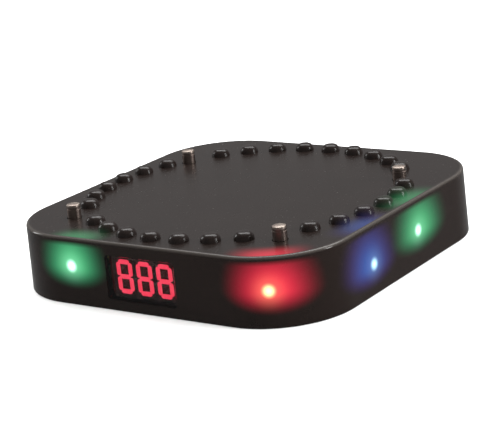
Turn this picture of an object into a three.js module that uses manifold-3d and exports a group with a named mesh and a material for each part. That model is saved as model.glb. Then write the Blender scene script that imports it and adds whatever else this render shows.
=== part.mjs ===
// Guest coaster pager: a rounded-square box that lights up, shakes and shows a three-digit number.
// Four metal posts stand out of its top and meet the contact pads of the pager stacked above it.
// Millimetres, +Z up. Origin at the centre of the underside. The display looks towards -Y.
import * as THREE from "three";
import { mergeVertices } from "three/addons/utils/BufferGeometryUtils.js";
import Module from "manifold-3d";

const wasm = await Module();
wasm.setup();

// Driving dimensions of the body.
const SIDE = 95;
const CORNER = 21;
const BODY_HEIGHT = 17.5;
const POST_RISE = 3.6;
const DRAFT = 0.4;
const EDGE_ROUND = 0.7;
const WALL = 2;
const ROOF = 2;
const CORNER_STEPS = 8;
const FIT_GAP = 0.1;
const HOLE_PLAY = 0.15;

// The bottom cover is let into a rebate at the foot of the wall.
const COVER = { thick: 1.8, rim: 1.2, standoff: 2.6, counterbore: 2.6, counterboreDepth: 1.1 };
const SCREW_HOLE = { cover: 1.2, board: 1.3 };

// The circuit board stands on the cover's standoffs. Its front edge is notched for the display.
const BOARD = { bottom: 3.8, thick: 1.2, inset: 4.5, notchHalf: 11.9, notchBack: -36.6 };
const BOARD_TOP = BOARD.bottom + BOARD.thick;

// Raised domes in a circle on the top; every 32nd of a turn has one unless a post takes its place.
const DOMES = { count: 32, circle: 41.5, foot: 2.6, crown: 1.6, rise: 2, shoulder: 1.2, sides: 10 };

// Charging posts and the contact pads under them.
const POST = { radius: 1.8, chamfer: 0.35, hole: 2, flange: 3, flangeThick: 0.9 };
const STEM = { radius: 1, hole: 1.2, past: 0.2 };
const POSTS = [
  ["front_left", -32, -32.3],
  ["front_right", 32, -32.3],
  ["rear_left", -34.3, 20.7],
  ["rear_right", 34.3, 20.7],
];
const PAD = { radius: 3, flange: 4, flangeThick: 0.6, stub: 1.6, stubGap: 0.3 };

// Screws come up through the bottom cover and the board into bosses under the roof.
const SCREW = { head: 2.3, headThick: 0.9, chamfer: 0.3, shank: 0.9, length: 11 };
const SLOT = { long: 2.8, wide: 0.6, deep: 0.54 };
const SCREWS = [
  ["front_left", -28, -21],
  ["front_right", 28, -21],
  ["rear_left", -30, 31],
  ["rear_right", 30, 31],
];
const BOSS = { radius: 3, pilot: 1, pilotTop: 13 };

// Three seven-segment digits behind a smoked window in the front wall.
const DISPLAY = { middle: 8.4, width: 21.4, height: 11.6, depth: 6.4, faceThick: 0.3, faceInset: 0.2 };
const DISPLAY_FRONT = -SIDE / 2 + WALL + DRAFT + 0.3;
const PINS = { count: 6, pitch: 2.54, half: 0.3, rise: 1.2, reach: 1.4 };
const DIGIT = { count: 3, pitch: 6.15, width: 4.8, height: 8.8, stroke: 1.15, cut: 0.12, lift: 0.2 };

// Lamps just inside the wall: name, the lens's place, and the way it faces in degrees from +X.
const LAMP = { radius: 1.5, flange: 1.9, flangeThick: 1, length: 4.4 };
const LEG = { half: 0.25, spread: 1.27, reach: 0.8, root: 0.2, bend: 0.6 };
const LAMPS = [
  ["front_inner", -15.5, -42.2, -90],
  ["front_left", -30.9, -40.2, -108],
  ["front_right", 30.9, -40.2, -72],
  ["right_front", 42.6, -12.9, 0],
  ["right_rear", 42.6, 20.7, 0],
  ["back_right", 20, 42.6, 90],
  ["back_left", -20, 42.6, 90],
  ["left_rear", -42.6, 20.7, 180],
  ["left_front", -42.6, -12.9, 180],
];

// Power and sound.
const BATTERY = { x: 0, y: 2, width: 44, depth: 30, height: 5.4, round: 2.2 };
const TAPE = { width: 34, depth: 20, thick: 0.4 };
const SOCKET = { x: -30.6, y: 2, width: 7, depth: 8, height: 5, wall: 0.7 };
const PLUG = { width: 6.4, depth: 6.2, height: 3.4 };
const LEAD = { radius: 0.55, plugSpread: 1.25, cellSpread: 2, straight: 1.2, climb: 1, sides: 8, steps: 4 };
const BUZZER = { x: 13, y: 31, radius: 8, height: 6.4, chamfer: 0.6, portRadius: 1.1, portDepth: 1.2 };

// The motor lies along X with a half-round weight on its shaft.
const MOTOR = { x: -23, y: 31.4, z: 10.1, radius: 4.2, length: 15, chamfer: 0.3, collar: 1.6, neck: 0.8 };
const SHAFT = { radius: 0.75, boreDepth: 3, past: 0.6 };
const WEIGHT = { gap: 2, length: 6.5, radius: 4.4, hub: 1.7, bore: 0.82 };
const CRADLE = { width: 11, length: 9 };

// Chips: name, centre x and y, and sizes along x, y and z.
const CHIPS = [
  ["controller_chip", 4, -25, 9, 9, 1.4],
  ["radio_chip", -12, -22, 5, 5, 0.9],
  ["charger_chip", 32, -4, 4, 5, 1.5],
];
const CRYSTAL = { x: 17, y: -31, long: 10, wide: 4.2, height: 3.2 };
const ANTENNA = { x: -25, y: -30.5, lift: 0.4, coil: 2.1, turns: 6, pitch: 2.6, steps: 8, wire: 0.4, sides: 5 };

// The push button in the underside, and the switch that it works.
const BUTTON = { x: 0, y: 29, radius: 3, chamfer: 0.3, flange: 4.2, rim: 0.6, face: 0.35, travel: 0.5 };
const POCKET = { radius: 4.4, depth: 0.8 };
const SWITCH = { side: 6, thick: 1.15, roof: 0.25, plunger: 1.1, well: 1.4 };

const material = (color, roughness, metalness = 0) =>
  new THREE.MeshStandardMaterial({ color, roughness, metalness });

const smokedShell = material(0x1e1816, 0.12);
const smokedCover = material(0x191614, 0.45);
const smokedLens = material(0x140c0c, 0.05);
const displayBlock = material(0x15110f, 0.6);
const litSegment = material(0xe8455a, 0.4);
const solderMask = material(0x14532d, 0.45);
const epoxy = material(0x17171a, 0.6);
const bronzePost = material(0x54433c, 0.3, 1);
const steel = material(0x9b9a97, 0.35, 1);
const tungsten = material(0x6d6a66, 0.4, 1);
const pouch = material(0xb9bcc0, 0.4, 0.6);
const foam = material(0xe8e4d8, 0.9);
const nylon = material(0xe6e1d2, 0.55);
const copper = material(0xb46a3c, 0.35, 1);
const redJacket = material(0xb01f1f, 0.5);
const blackJacket = material(0x1b1b1b, 0.5);
const frosted = material(0xe9edf2, 0.25);

const group = new THREE.Group();

function place(name, geometry, finish) {
  const mesh = new THREE.Mesh(geometry, finish);
  mesh.name = name;
  group.add(mesh);
  return mesh;
}

// A closed geometry as a solid that can be joined and cut, and back again.
function solid(geometry) {
  const bare = geometry.clone();
  bare.deleteAttribute("normal");
  bare.deleteAttribute("uv");
  const merged = mergeVertices(bare, 1e-4);
  const triVerts = new Uint32Array(merged.index.array);
  const vertProperties = new Float32Array(merged.attributes.position.array);
  return new wasm.Manifold(new wasm.Mesh({ numProp: 3, vertProperties, triVerts }));
}

function surface(body) {
  const mesh = body.getMesh();
  const geometry = new THREE.BufferGeometry();
  geometry.setAttribute("position", new THREE.BufferAttribute(new Float32Array(mesh.vertProperties), 3));
  geometry.setIndex(new THREE.BufferAttribute(new Uint32Array(mesh.triVerts), 1));
  geometry.computeVertexNormals();
  return geometry;
}

function box(x0, x1, y0, y1, z0, z1) {
  const block = new THREE.BoxGeometry(x1 - x0, y1 - y0, z1 - z0);
  return block.translate((x0 + x1) / 2, (y0 + y1) / 2, (z0 + z1) / 2);
}

// A block that stands centred on a place.
function block(x, y, bottom, width, depth, height) {
  return box(x - width / 2, x + width / 2, y - depth / 2, y + depth / 2, bottom, bottom + height);
}

// A turned piece about +Z from its radius and height pairs, read upwards from the axis and back to it.
function turned(profile, sides, x = 0, y = 0) {
  const points = profile.map(([radius, z]) => new THREE.Vector2(radius, z));
  const lathe = new THREE.LatheGeometry(points, sides);
  return lathe.rotateX(Math.PI / 2).translate(x, y, 0);
}

function rod(radius, z0, z1, sides, x = 0, y = 0) {
  return turned([[0, z0], [radius, z0], [radius, z1], [0, z1]], sides, x, y);
}

// Points around the body's plan, pulled in from its widest outline by an inset.
function outline(inset) {
  const middle = SIDE / 2 - CORNER;
  const radius = CORNER - inset;
  const points = [];
  for (let corner = 0; corner < 4; corner++) {
    const sx = corner === 0 || corner === 3 ? 1 : -1;
    const sy = corner < 2 ? 1 : -1;
    for (let step = 0; step <= CORNER_STEPS; step++) {
      const angle = ((corner + step / CORNER_STEPS) * Math.PI) / 2;
      points.push([sx * middle + radius * Math.cos(angle), sy * middle + radius * Math.sin(angle)]);
    }
  }
  return points;
}

// A closed solid through outlines at rising heights: each level is a height and an inset.
function lofted(levels) {
  const rings = levels.map(([z, inset]) => outline(inset).map(([x, y]) => [x, y, z]));
  const count = rings[0].length;
  const positions = [];
  const triangle = (...corners) => corners.forEach((corner) => positions.push(...corner));
  for (let level = 0; level + 1 < rings.length; level++) {
    for (let i = 0; i < count; i++) {
      const j = (i + 1) % count;
      triangle(rings[level][i], rings[level][j], rings[level + 1][j]);
      triangle(rings[level][i], rings[level + 1][j], rings[level + 1][i]);
    }
  }
  const foot = [0, 0, levels[0][0]];
  const crown = [0, 0, levels[levels.length - 1][0]];
  for (let i = 0; i < count; i++) {
    const j = (i + 1) % count;
    triangle(rings[0][j], rings[0][i], foot);
    triangle(rings[rings.length - 1][i], rings[rings.length - 1][j], crown);
  }
  const geometry = new THREE.BufferGeometry();
  geometry.setAttribute("position", new THREE.Float32BufferAttribute(positions, 3));
  return mergeVertices(geometry, 1e-4);
}

function draftAt(z) {
  return (DRAFT * z) / BODY_HEIGHT;
}

// The bare shell before its openings: outer skin less the cavity and the rebate for the bottom cover.
function bareShell() {
  const shoulder = BODY_HEIGHT - EDGE_ROUND;
  const skin = solid(lofted([
    [0, 0],
    [shoulder, draftAt(shoulder)],
    [shoulder + EDGE_ROUND * 0.7, DRAFT + EDGE_ROUND * 0.3],
    [BODY_HEIGHT, DRAFT + EDGE_ROUND],
  ]));
  const ceiling = BODY_HEIGHT - ROOF;
  const cavity = solid(lofted([
    [COVER.thick, WALL],
    [ceiling, WALL + draftAt(ceiling)],
  ]));
  const rebate = solid(lofted([
    [-1, COVER.rim],
    [COVER.thick + FIT_GAP, COVER.rim],
  ]));
  return skin.subtract(cavity).subtract(rebate);
}

// The block of front wall that the display is read through.
function windowBlock(gap) {
  const half = DISPLAY.width / 2 - gap;
  const low = DISPLAY.middle - DISPLAY.height / 2 + gap;
  const high = DISPLAY.middle + DISPLAY.height / 2 - gap;
  return solid(box(-half, half, -SIDE / 2 - 1, -SIDE / 2 + WALL + 1, low, high));
}

function dome(x, y) {
  const root = BODY_HEIGHT - ROOF / 2;
  const profile = [
    [0, root],
    [DOMES.foot, root],
    [DOMES.foot, BODY_HEIGHT + DOMES.shoulder],
    [DOMES.crown, BODY_HEIGHT + DOMES.rise],
    [0, BODY_HEIGHT + DOMES.rise],
  ];
  return turned(profile, DOMES.sides, x, y);
}

function domePlaces() {
  const places = [];
  for (let i = 0; i < DOMES.count; i++) {
    const angle = (i * 2 * Math.PI) / DOMES.count;
    const x = DOMES.circle * Math.cos(angle);
    const y = DOMES.circle * Math.sin(angle);
    const clear = POSTS.every(([, px, py]) => Math.hypot(x - px, y - py) > DOMES.foot + POST.hole);
    if (clear) places.push([x, y]);
  }
  return places;
}

function topCover() {
  let body = bareShell();
  const ceiling = BODY_HEIGHT - ROOF;
  const bossFoot = BOARD_TOP + FIT_GAP;
  for (const [, x, y] of SCREWS) {
    body = body.add(solid(rod(BOSS.radius, bossFoot, ceiling + ROOF / 2, 12, x, y)));
    body = body.subtract(solid(rod(BOSS.pilot, bossFoot - 1, BOSS.pilotTop, 8, x, y)));
  }
  for (const [x, y] of domePlaces()) body = body.add(solid(dome(x, y)));
  for (const [, x, y] of POSTS) {
    body = body.subtract(solid(rod(POST.hole, ceiling - 1, BODY_HEIGHT + 1, 16, x, y)));
  }
  body = body.subtract(windowBlock(0));
  place("top_cover", surface(body), smokedShell);
}

function displayWindow() {
  place("display_window", surface(bareShell().intersect(windowBlock(FIT_GAP))), smokedLens);
}

function bottomCover() {
  const edge = COVER.rim + FIT_GAP;
  let body = solid(lofted([[0, edge], [COVER.thick, edge]]));
  const past = COVER.thick + 1;
  for (const [, x, y] of SCREWS) {
    body = body.add(solid(rod(COVER.standoff, COVER.thick / 2, BOARD.bottom - FIT_GAP, 12, x, y)));
    body = body.subtract(solid(rod(SCREW_HOLE.cover, -1, BOARD.bottom + 1, 8, x, y)));
    body = body.subtract(solid(rod(COVER.counterbore, -1, COVER.counterboreDepth, 16, x, y)));
  }
  for (const [, x, y] of POSTS) body = body.subtract(solid(rod(PAD.radius + HOLE_PLAY, -1, past, 16, x, y)));
  body = body.subtract(solid(rod(BUTTON.radius + HOLE_PLAY, -1, past, 16, BUTTON.x, BUTTON.y)));
  const pocketFloor = COVER.thick - POCKET.depth;
  body = body.subtract(solid(rod(POCKET.radius, pocketFloor, past, 16, BUTTON.x, BUTTON.y)));
  place("bottom_cover", surface(body), smokedCover);
}

function mainBoard() {
  const board = new THREE.Shape(outline(BOARD.inset).map(([x, y]) => new THREE.Vector2(x, y)));
  const hole = (x, y, radius) => {
    board.holes.push(new THREE.Path().absarc(x, y, radius, 0, 2 * Math.PI, true));
  };
  for (const [, x, y] of POSTS) hole(x, y, STEM.hole);
  for (const [, x, y] of SCREWS) hole(x, y, SCREW_HOLE.board);
  const plain = { depth: BOARD.thick, bevelEnabled: false, curveSegments: 6 };
  const slab = new THREE.ExtrudeGeometry(board, plain);
  slab.translate(0, 0, BOARD.bottom);
  const front = -SIDE / 2;
  const notch = box(-BOARD.notchHalf, BOARD.notchHalf, front, BOARD.notchBack, 0, BODY_HEIGHT);
  place("main_board", surface(solid(slab).subtract(solid(notch))), solderMask);
}

// The digit block, with the row of pins that comes out of its back and turns down into the board.
function displayModule() {
  const front = DISPLAY_FRONT + DISPLAY.faceThick + DIGIT.lift;
  const back = front + DISPLAY.depth;
  const low = DISPLAY.middle - DISPLAY.height / 2;
  const high = DISPLAY.middle + DISPLAY.height / 2;
  let body = solid(box(-DISPLAY.width / 2, DISPLAY.width / 2, front, back, low, high));
  const height = BOARD_TOP + PINS.rise;
  const end = BOARD.notchBack + PINS.reach;
  for (let i = 0; i < PINS.count; i++) {
    const x = (i - (PINS.count - 1) / 2) * PINS.pitch;
    const arm = box(x - PINS.half, x + PINS.half, back - 0.5, end, height - PINS.half, height + PINS.half);
    const foot = box(x - PINS.half, x + PINS.half, end - 2 * PINS.half, end, BOARD_TOP + FIT_GAP, height);
    body = body.add(solid(arm)).add(solid(foot));
  }
  place("display_module", surface(body), displayBlock);
}

// One lit bar of a digit, as its outline in the display's plane, along x or along z.
function bar(x, z, length, upright) {
  const half = DIGIT.stroke / 2;
  const end = length / 2 - DIGIT.cut;
  const inner = end - half;
  const lying = [[-end, 0], [-inner, -half], [inner, -half], [end, 0], [inner, half], [-inner, half]];
  return lying.map(([u, v]) => (upright ? [x - v, z + u] : [x + u, z + v]));
}

function digitBars(middle) {
  const across = DIGIT.width - DIGIT.stroke;
  const down = (DIGIT.height - DIGIT.stroke) / 2;
  const bars = [];
  for (const level of [-1, 0, 1]) bars.push(bar(middle, level * down, across, false));
  for (const side of [-1, 1]) {
    for (const half of [-0.5, 0.5]) bars.push(bar(middle + (side * across) / 2, half * down, down, true));
  }
  return bars;
}

// The digits' face: a thin plate that every bar stands out of.
function displayFace() {
  const back = DISPLAY_FRONT + DISPLAY.faceThick + DIGIT.lift - FIT_GAP;
  const half = DISPLAY.width / 2 - DISPLAY.faceInset;
  const low = DISPLAY.middle - DISPLAY.height / 2 + DISPLAY.faceInset;
  const high = DISPLAY.middle + DISPLAY.height / 2 - DISPLAY.faceInset;
  const plate = box(-half, half, DISPLAY_FRONT + DIGIT.lift, back, low, high);
  let body = solid(plate);
  for (let i = 0; i < DIGIT.count; i++) {
    const middle = (i - (DIGIT.count - 1) / 2) * DIGIT.pitch;
    for (const points of digitBars(middle)) {
      const shape = new THREE.Shape(points.map(([x, z]) => new THREE.Vector2(x, z)));
      const depth = DIGIT.lift + DISPLAY.faceThick / 2;
      const raised = new THREE.ExtrudeGeometry(shape, { depth, bevelEnabled: false });
      raised.rotateX(Math.PI / 2).translate(0, DISPLAY_FRONT + depth, DISPLAY.middle);
      body = body.add(solid(raised));
    }
  }
  place("display_face", surface(body), litSegment);
}

function lamp(name, x, y, facing) {
  const straight = LAMP.length - LAMP.radius - LAMP.flangeThick;
  const diagonal = LAMP.radius * Math.SQRT1_2;
  const shoulder = LAMP.flangeThick + straight;
  const profile = [
    [0, 0],
    [LAMP.flange, 0],
    [LAMP.flange, LAMP.flangeThick],
    [LAMP.radius, LAMP.flangeThick],
    [LAMP.radius, shoulder],
    [diagonal, shoulder + diagonal],
    [0, LAMP.length],
  ];
  let body = solid(turned(profile, 10).rotateY(Math.PI / 2));
  const drop = LAMP.flange + 0.2;
  for (const side of [-1, 1]) {
    const middle = side * LEG.spread;
    const arm = box(-LEG.reach, LEG.root, middle - LEG.half, middle + LEG.half, -LEG.half, LEG.half);
    const leg = block(-LEG.bend, middle, -drop, 2 * LEG.half, 2 * LEG.half, drop);
    body = body.add(solid(arm)).add(solid(leg));
  }
  const mesh = place("lamp_" + name, surface(body), frosted);
  const turn = THREE.MathUtils.degToRad(facing);
  mesh.rotation.z = turn;
  const back = LAMP.length / 2;
  mesh.position.set(x - back * Math.cos(turn), y - back * Math.sin(turn), BOARD_TOP + drop + FIT_GAP);
}

// A post stands on the board, passes the roof with its flange below it, and ends in a flat tip.
function chargingPost(name, x, y) {
  const tip = BODY_HEIGHT + POST_RISE;
  const ceiling = BODY_HEIGHT - ROOF;
  const profile = [
    [0, BOARD.bottom - STEM.past],
    [STEM.radius, BOARD.bottom - STEM.past],
    [STEM.radius, BOARD_TOP + FIT_GAP],
    [POST.radius, BOARD_TOP + FIT_GAP],
    [POST.radius, ceiling - FIT_GAP - POST.flangeThick],
    [POST.flange, ceiling - FIT_GAP - POST.flangeThick],
    [POST.flange, ceiling - FIT_GAP],
    [POST.radius, ceiling - FIT_GAP],
    [POST.radius, tip - POST.chamfer],
    [POST.radius - POST.chamfer, tip],
    [0, tip],
  ];
  place("charging_post_" + name, turned(profile, 16, x, y), bronzePost);
}

function contactPad(name, x, y) {
  const ledge = COVER.thick + FIT_GAP;
  const profile = [
    [0, 0],
    [PAD.radius, 0],
    [PAD.radius, ledge],
    [PAD.flange, ledge],
    [PAD.flange, ledge + PAD.flangeThick],
    [PAD.stub, ledge + PAD.flangeThick],
    [PAD.stub, BOARD.bottom - PAD.stubGap],
    [0, BOARD.bottom - PAD.stubGap],
  ];
  place("contact_pad_" + name, turned(profile, 16, x, y), bronzePost);
}

// A self-tapping screw with a cross recess in its head, driven from below.
function screw(name, x, y) {
  const headTop = COVER.counterboreDepth - FIT_GAP;
  const headFoot = headTop - SCREW.headThick;
  const end = headTop + SCREW.length;
  const profile = [
    [0, headFoot],
    [SCREW.head - SCREW.chamfer, headFoot],
    [SCREW.head, headFoot + SCREW.chamfer],
    [SCREW.head, headTop],
    [SCREW.shank, headTop],
    [SCREW.shank, end - SCREW.shank],
    [0, end],
  ];
  let body = solid(turned(profile, 16));
  const slotHeight = headFoot + SLOT.deep + 1;
  body = body.subtract(solid(block(0, 0, -1, SLOT.long, SLOT.wide, slotHeight)));
  body = body.subtract(solid(block(0, 0, -1, SLOT.wide, SLOT.long, slotHeight)));
  const mesh = place("cover_screw_" + name, surface(body), steel);
  mesh.position.set(x, y, 0);
}

function batteryPack() {
  const tapeFoot = BOARD_TOP + FIT_GAP;
  const { x, y, width, depth, height, round } = BATTERY;
  place("battery_tape", block(x, y, tapeFoot, TAPE.width, TAPE.depth, TAPE.thick), foam);
  const half = height / 2;
  const section = new THREE.Shape();
  section.moveTo(-depth / 2 + round, -half);
  section.lineTo(depth / 2 - round, -half);
  section.absarc(depth / 2 - round, -half + round, round, -Math.PI / 2, 0);
  section.absarc(depth / 2 - round, half - round, round, 0, Math.PI / 2);
  section.lineTo(-depth / 2 + round, half);
  section.absarc(-depth / 2 + round, half - round, round, Math.PI / 2, Math.PI);
  section.absarc(-depth / 2 + round, -half + round, round, Math.PI, 1.5 * Math.PI);
  const cell = new THREE.ExtrudeGeometry(section, { depth: width, bevelEnabled: false, curveSegments: 4 });
  cell.rotateX(Math.PI / 2).rotateZ(Math.PI / 2);
  cell.translate(x - width / 2, y, tapeFoot + TAPE.thick + FIT_GAP + half);
  place("battery", cell, pouch);
}

// The battery's two leads end in a plug that sits in an open-topped socket on the board.
function batteryPlug() {
  const foot = BOARD_TOP + FIT_GAP;
  const { x, y, width, depth, height, wall } = SOCKET;
  const shell = solid(block(x, y, foot, width, depth, height));
  const inner = depth / 2 - wall;
  const mouth = box(x - width / 2 + wall, x + width, y - inner, y + inner, foot + wall, foot + 2 * height);
  place("battery_socket", surface(shell.subtract(solid(mouth))), nylon);
  const plugFoot = foot + wall + FIT_GAP;
  const plugX = x - width / 2 + wall + FIT_GAP + PLUG.width / 2;
  place("battery_plug", block(plugX, y, plugFoot, PLUG.width, PLUG.depth, PLUG.height), nylon);
  const start = plugX + PLUG.width / 2 + FIT_GAP;
  const end = BATTERY.x - BATTERY.width / 2 - FIT_GAP;
  const leads = [["battery_lead_red", 1, redJacket], ["battery_lead_black", -1, blackJacket]];
  for (const [name, side, finish] of leads) {
    const low = plugFoot + PLUG.height / 2;
    const high = low + LEAD.climb;
    const route = new THREE.CatmullRomCurve3([
      new THREE.Vector3(start, y + side * LEAD.plugSpread, low),
      new THREE.Vector3(start + LEAD.straight, y + side * LEAD.plugSpread, low + 0.1),
      new THREE.Vector3(end - LEAD.straight, y + side * LEAD.cellSpread, high - 0.1),
      new THREE.Vector3(end, y + side * LEAD.cellSpread, high),
    ]);
    place(name, tube(route, LEAD.radius, LEAD.sides, LEAD.steps), finish);
  }
}

function tube(route, radius, sides, steps) {
  const section = new THREE.Shape();
  for (let i = 0; i < sides; i++) {
    const angle = (i * 2 * Math.PI) / sides;
    const x = radius * Math.cos(angle);
    const y = radius * Math.sin(angle);
    if (i === 0) section.moveTo(x, y);
    else section.lineTo(x, y);
  }
  return new THREE.ExtrudeGeometry(section, { steps, bevelEnabled: false, extrudePath: route });
}

function buzzer() {
  const foot = BOARD_TOP + FIT_GAP;
  const top = foot + BUZZER.height;
  const profile = [
    [0, foot],
    [BUZZER.radius, foot],
    [BUZZER.radius, top - BUZZER.chamfer],
    [BUZZER.radius - BUZZER.chamfer, top],
    [BUZZER.portRadius, top],
    [BUZZER.portRadius, top - BUZZER.portDepth],
    [0, top - BUZZER.portDepth],
  ];
  place("buzzer", turned(profile, 20, BUZZER.x, BUZZER.y), epoxy);
}

// Turns a piece made about +Z so that it lies along +X at the motor's axis.
function alongMotor(geometry, start) {
  return geometry.rotateY(Math.PI / 2).translate(MOTOR.x + start, MOTOR.y, MOTOR.z);
}

function motor() {
  const { radius, length, chamfer, collar, neck } = MOTOR;
  const bore = SHAFT.radius + FIT_GAP;
  const boreEnd = length - SHAFT.boreDepth;
  const can = turned([
    [0, 0],
    [radius - chamfer, 0],
    [radius, chamfer],
    [radius, length - chamfer],
    [radius - chamfer, length],
    [collar, length],
    [collar, length + neck],
    [bore, length + neck],
    [bore, boreEnd],
    [0, boreEnd],
  ], 16);
  place("motor_can", alongMotor(can, 0), steel);
  const reach = length + WEIGHT.gap + WEIGHT.length + SHAFT.past;
  const spindle = rod(SHAFT.radius, boreEnd + FIT_GAP, reach, 10);
  place("motor_shaft", alongMotor(spindle, 0), steel);
}

// A saddle under the motor, cut to the can's round.
function motorCradle() {
  const foot = BOARD_TOP + FIT_GAP;
  const middle = MOTOR.x + MOTOR.length / 2;
  const saddle = solid(block(middle, MOTOR.y, foot, CRADLE.length, CRADLE.width, MOTOR.z - foot));
  const round = rod(MOTOR.radius + FIT_GAP, -1, MOTOR.length + 1, 16);
  place("motor_cradle", surface(saddle.subtract(solid(alongMotor(round, 0)))), nylon);
}

// Half a disc round a hub, so that its turning shakes the whole pager.
function eccentricWeight() {
  const { gap, length, radius, hub, bore } = WEIGHT;
  const start = MOTOR.length + gap;
  const disc = solid(rod(radius, 0, length, 24));
  const half = disc.subtract(solid(box(-2 * radius, 0.001, -2 * radius, 2 * radius, -1, length + 1)));
  const whole = half.add(solid(rod(hub, 0, length, 16)));
  const bored = whole.subtract(solid(rod(bore, -1, length + 1, 12)));
  place("eccentric_weight", alongMotor(surface(bored), start), tungsten);
}

function chips() {
  for (const [name, x, y, width, depth, height] of CHIPS) {
    place(name, block(x, y, BOARD_TOP + FIT_GAP, width, depth, height), epoxy);
  }
  const { x, y, long, wide, height } = CRYSTAL;
  const plan = new THREE.Shape();
  const reach = long / 2 - wide / 2;
  plan.absarc(reach, 0, wide / 2, -Math.PI / 2, Math.PI / 2);
  plan.absarc(-reach, 0, wide / 2, Math.PI / 2, 1.5 * Math.PI);
  const can = new THREE.ExtrudeGeometry(plan, { depth: height, bevelEnabled: false, curveSegments: 8 });
  place("crystal", can.translate(x, y, BOARD_TOP + FIT_GAP), steel);
}

// The radio's aerial: a wound spring of wire lying along X.
function radioAntenna() {
  const { x, y, coil, wire, lift, turns, pitch, steps, sides } = ANTENNA;
  const height = BOARD_TOP + coil + wire + lift;
  class Winding extends THREE.Curve {
    getPoint(t, target = new THREE.Vector3()) {
      const angle = t * turns * 2 * Math.PI;
      return target.set(x + t * turns * pitch, y + coil * Math.cos(angle), height + coil * Math.sin(angle));
    }
  }
  place("radio_antenna", tube(new Winding(), wire, sides, turns * steps), copper);
}

// The button's flange lies in the cover's pocket; its plunger works in a well in the switch.
function powerButton() {
  const { x, y, radius, chamfer, flange, rim, face } = BUTTON;
  const ledge = COVER.thick - POCKET.depth + FIT_GAP;
  const crown = ledge + rim;
  const profile = [
    [0, face],
    [radius - chamfer, face],
    [radius, face + chamfer],
    [radius, ledge],
    [flange, ledge],
    [flange, crown],
    [0, crown],
  ];
  place("power_button", turned(profile, 16, x, y), smokedCover);
  const switchFoot = BOARD.bottom - FIT_GAP - SWITCH.thick;
  const shell = solid(block(x, y, switchFoot, SWITCH.side, SWITCH.side, SWITCH.thick));
  const wellTop = BOARD.bottom - FIT_GAP - SWITCH.roof;
  const well = solid(rod(SWITCH.well, switchFoot - 1, wellTop, 16, x, y));
  place("power_switch", surface(shell.subtract(well)), epoxy);
  const plungerTop = wellTop - BUTTON.travel - FIT_GAP;
  place("switch_plunger", rod(SWITCH.plunger, crown + FIT_GAP, plungerTop, 14, x, y), nylon);
}

topCover();
displayWindow();
bottomCover();
mainBoard();
displayModule();
displayFace();
for (const [name, x, y, facing] of LAMPS) lamp(name, x, y, facing);
for (const [name, x, y] of POSTS) {
  chargingPost(name, x, y);
  contactPad(name, x, y);
}
for (const [name, x, y] of SCREWS) screw(name, x, y);
batteryPack();
batteryPlug();
buzzer();
motor();
motorCradle();
eccentricWeight();
chips();
radioAntenna();
powerButton();

export default group;
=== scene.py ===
import math

import bmesh
import bpy
from mathutils import Matrix, Vector


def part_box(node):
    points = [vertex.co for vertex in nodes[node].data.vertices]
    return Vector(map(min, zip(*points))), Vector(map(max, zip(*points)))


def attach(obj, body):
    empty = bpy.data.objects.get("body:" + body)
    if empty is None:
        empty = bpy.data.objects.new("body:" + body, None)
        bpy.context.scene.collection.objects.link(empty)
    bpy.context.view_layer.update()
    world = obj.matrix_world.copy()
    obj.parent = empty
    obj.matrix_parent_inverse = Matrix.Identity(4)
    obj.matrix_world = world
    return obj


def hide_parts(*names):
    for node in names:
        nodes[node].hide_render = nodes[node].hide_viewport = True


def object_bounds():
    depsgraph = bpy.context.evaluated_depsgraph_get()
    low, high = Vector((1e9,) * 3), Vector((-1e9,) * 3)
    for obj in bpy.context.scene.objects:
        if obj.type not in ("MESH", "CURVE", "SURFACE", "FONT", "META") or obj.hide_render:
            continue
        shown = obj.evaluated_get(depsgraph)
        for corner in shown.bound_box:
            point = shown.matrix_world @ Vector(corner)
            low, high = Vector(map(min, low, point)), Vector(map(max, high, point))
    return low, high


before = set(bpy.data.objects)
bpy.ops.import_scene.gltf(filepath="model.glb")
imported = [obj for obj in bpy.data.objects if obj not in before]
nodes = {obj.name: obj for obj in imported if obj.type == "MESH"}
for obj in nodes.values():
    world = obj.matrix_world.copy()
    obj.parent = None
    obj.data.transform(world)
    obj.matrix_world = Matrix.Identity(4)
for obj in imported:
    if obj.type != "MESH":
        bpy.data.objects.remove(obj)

MM = 0.001
cad_low, cad_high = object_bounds()

# ---- Camera ---------------------------------------------------------------------------------
# A long lens looks down on the pager's front right corner. It is tipped a little to one side,
# so that the pager's upright edges lean.
CAMERA_AZIMUTH = math.radians(36.3)
CAMERA_HEIGHT = 0.137
CAMERA_REACH = 0.428
CAMERA_LENS = 122
CAMERA_TIP = math.radians(6.0)
AIM_DROP = 1 * MM

camera = bpy.data.objects.new("camera", bpy.data.cameras.new("camera"))
bpy.context.scene.collection.objects.link(camera)
camera.location = (
    CAMERA_REACH * math.sin(CAMERA_AZIMUTH),
    -CAMERA_REACH * math.cos(CAMERA_AZIMUTH),
    CAMERA_HEIGHT,
)
look_at = Vector((0, 0, (cad_low.z + cad_high.z) / 2 - AIM_DROP))
aim = (look_at - camera.location).to_track_quat("-Z", "Y")
camera.rotation_mode = "QUATERNION"
camera.rotation_quaternion = aim @ Matrix.Rotation(-CAMERA_TIP, 4, "Z").to_quaternion()
camera.data.lens = CAMERA_LENS
camera.data.clip_start = 0.01
camera.data.clip_end = 20
bpy.context.scene.camera = camera


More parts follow.
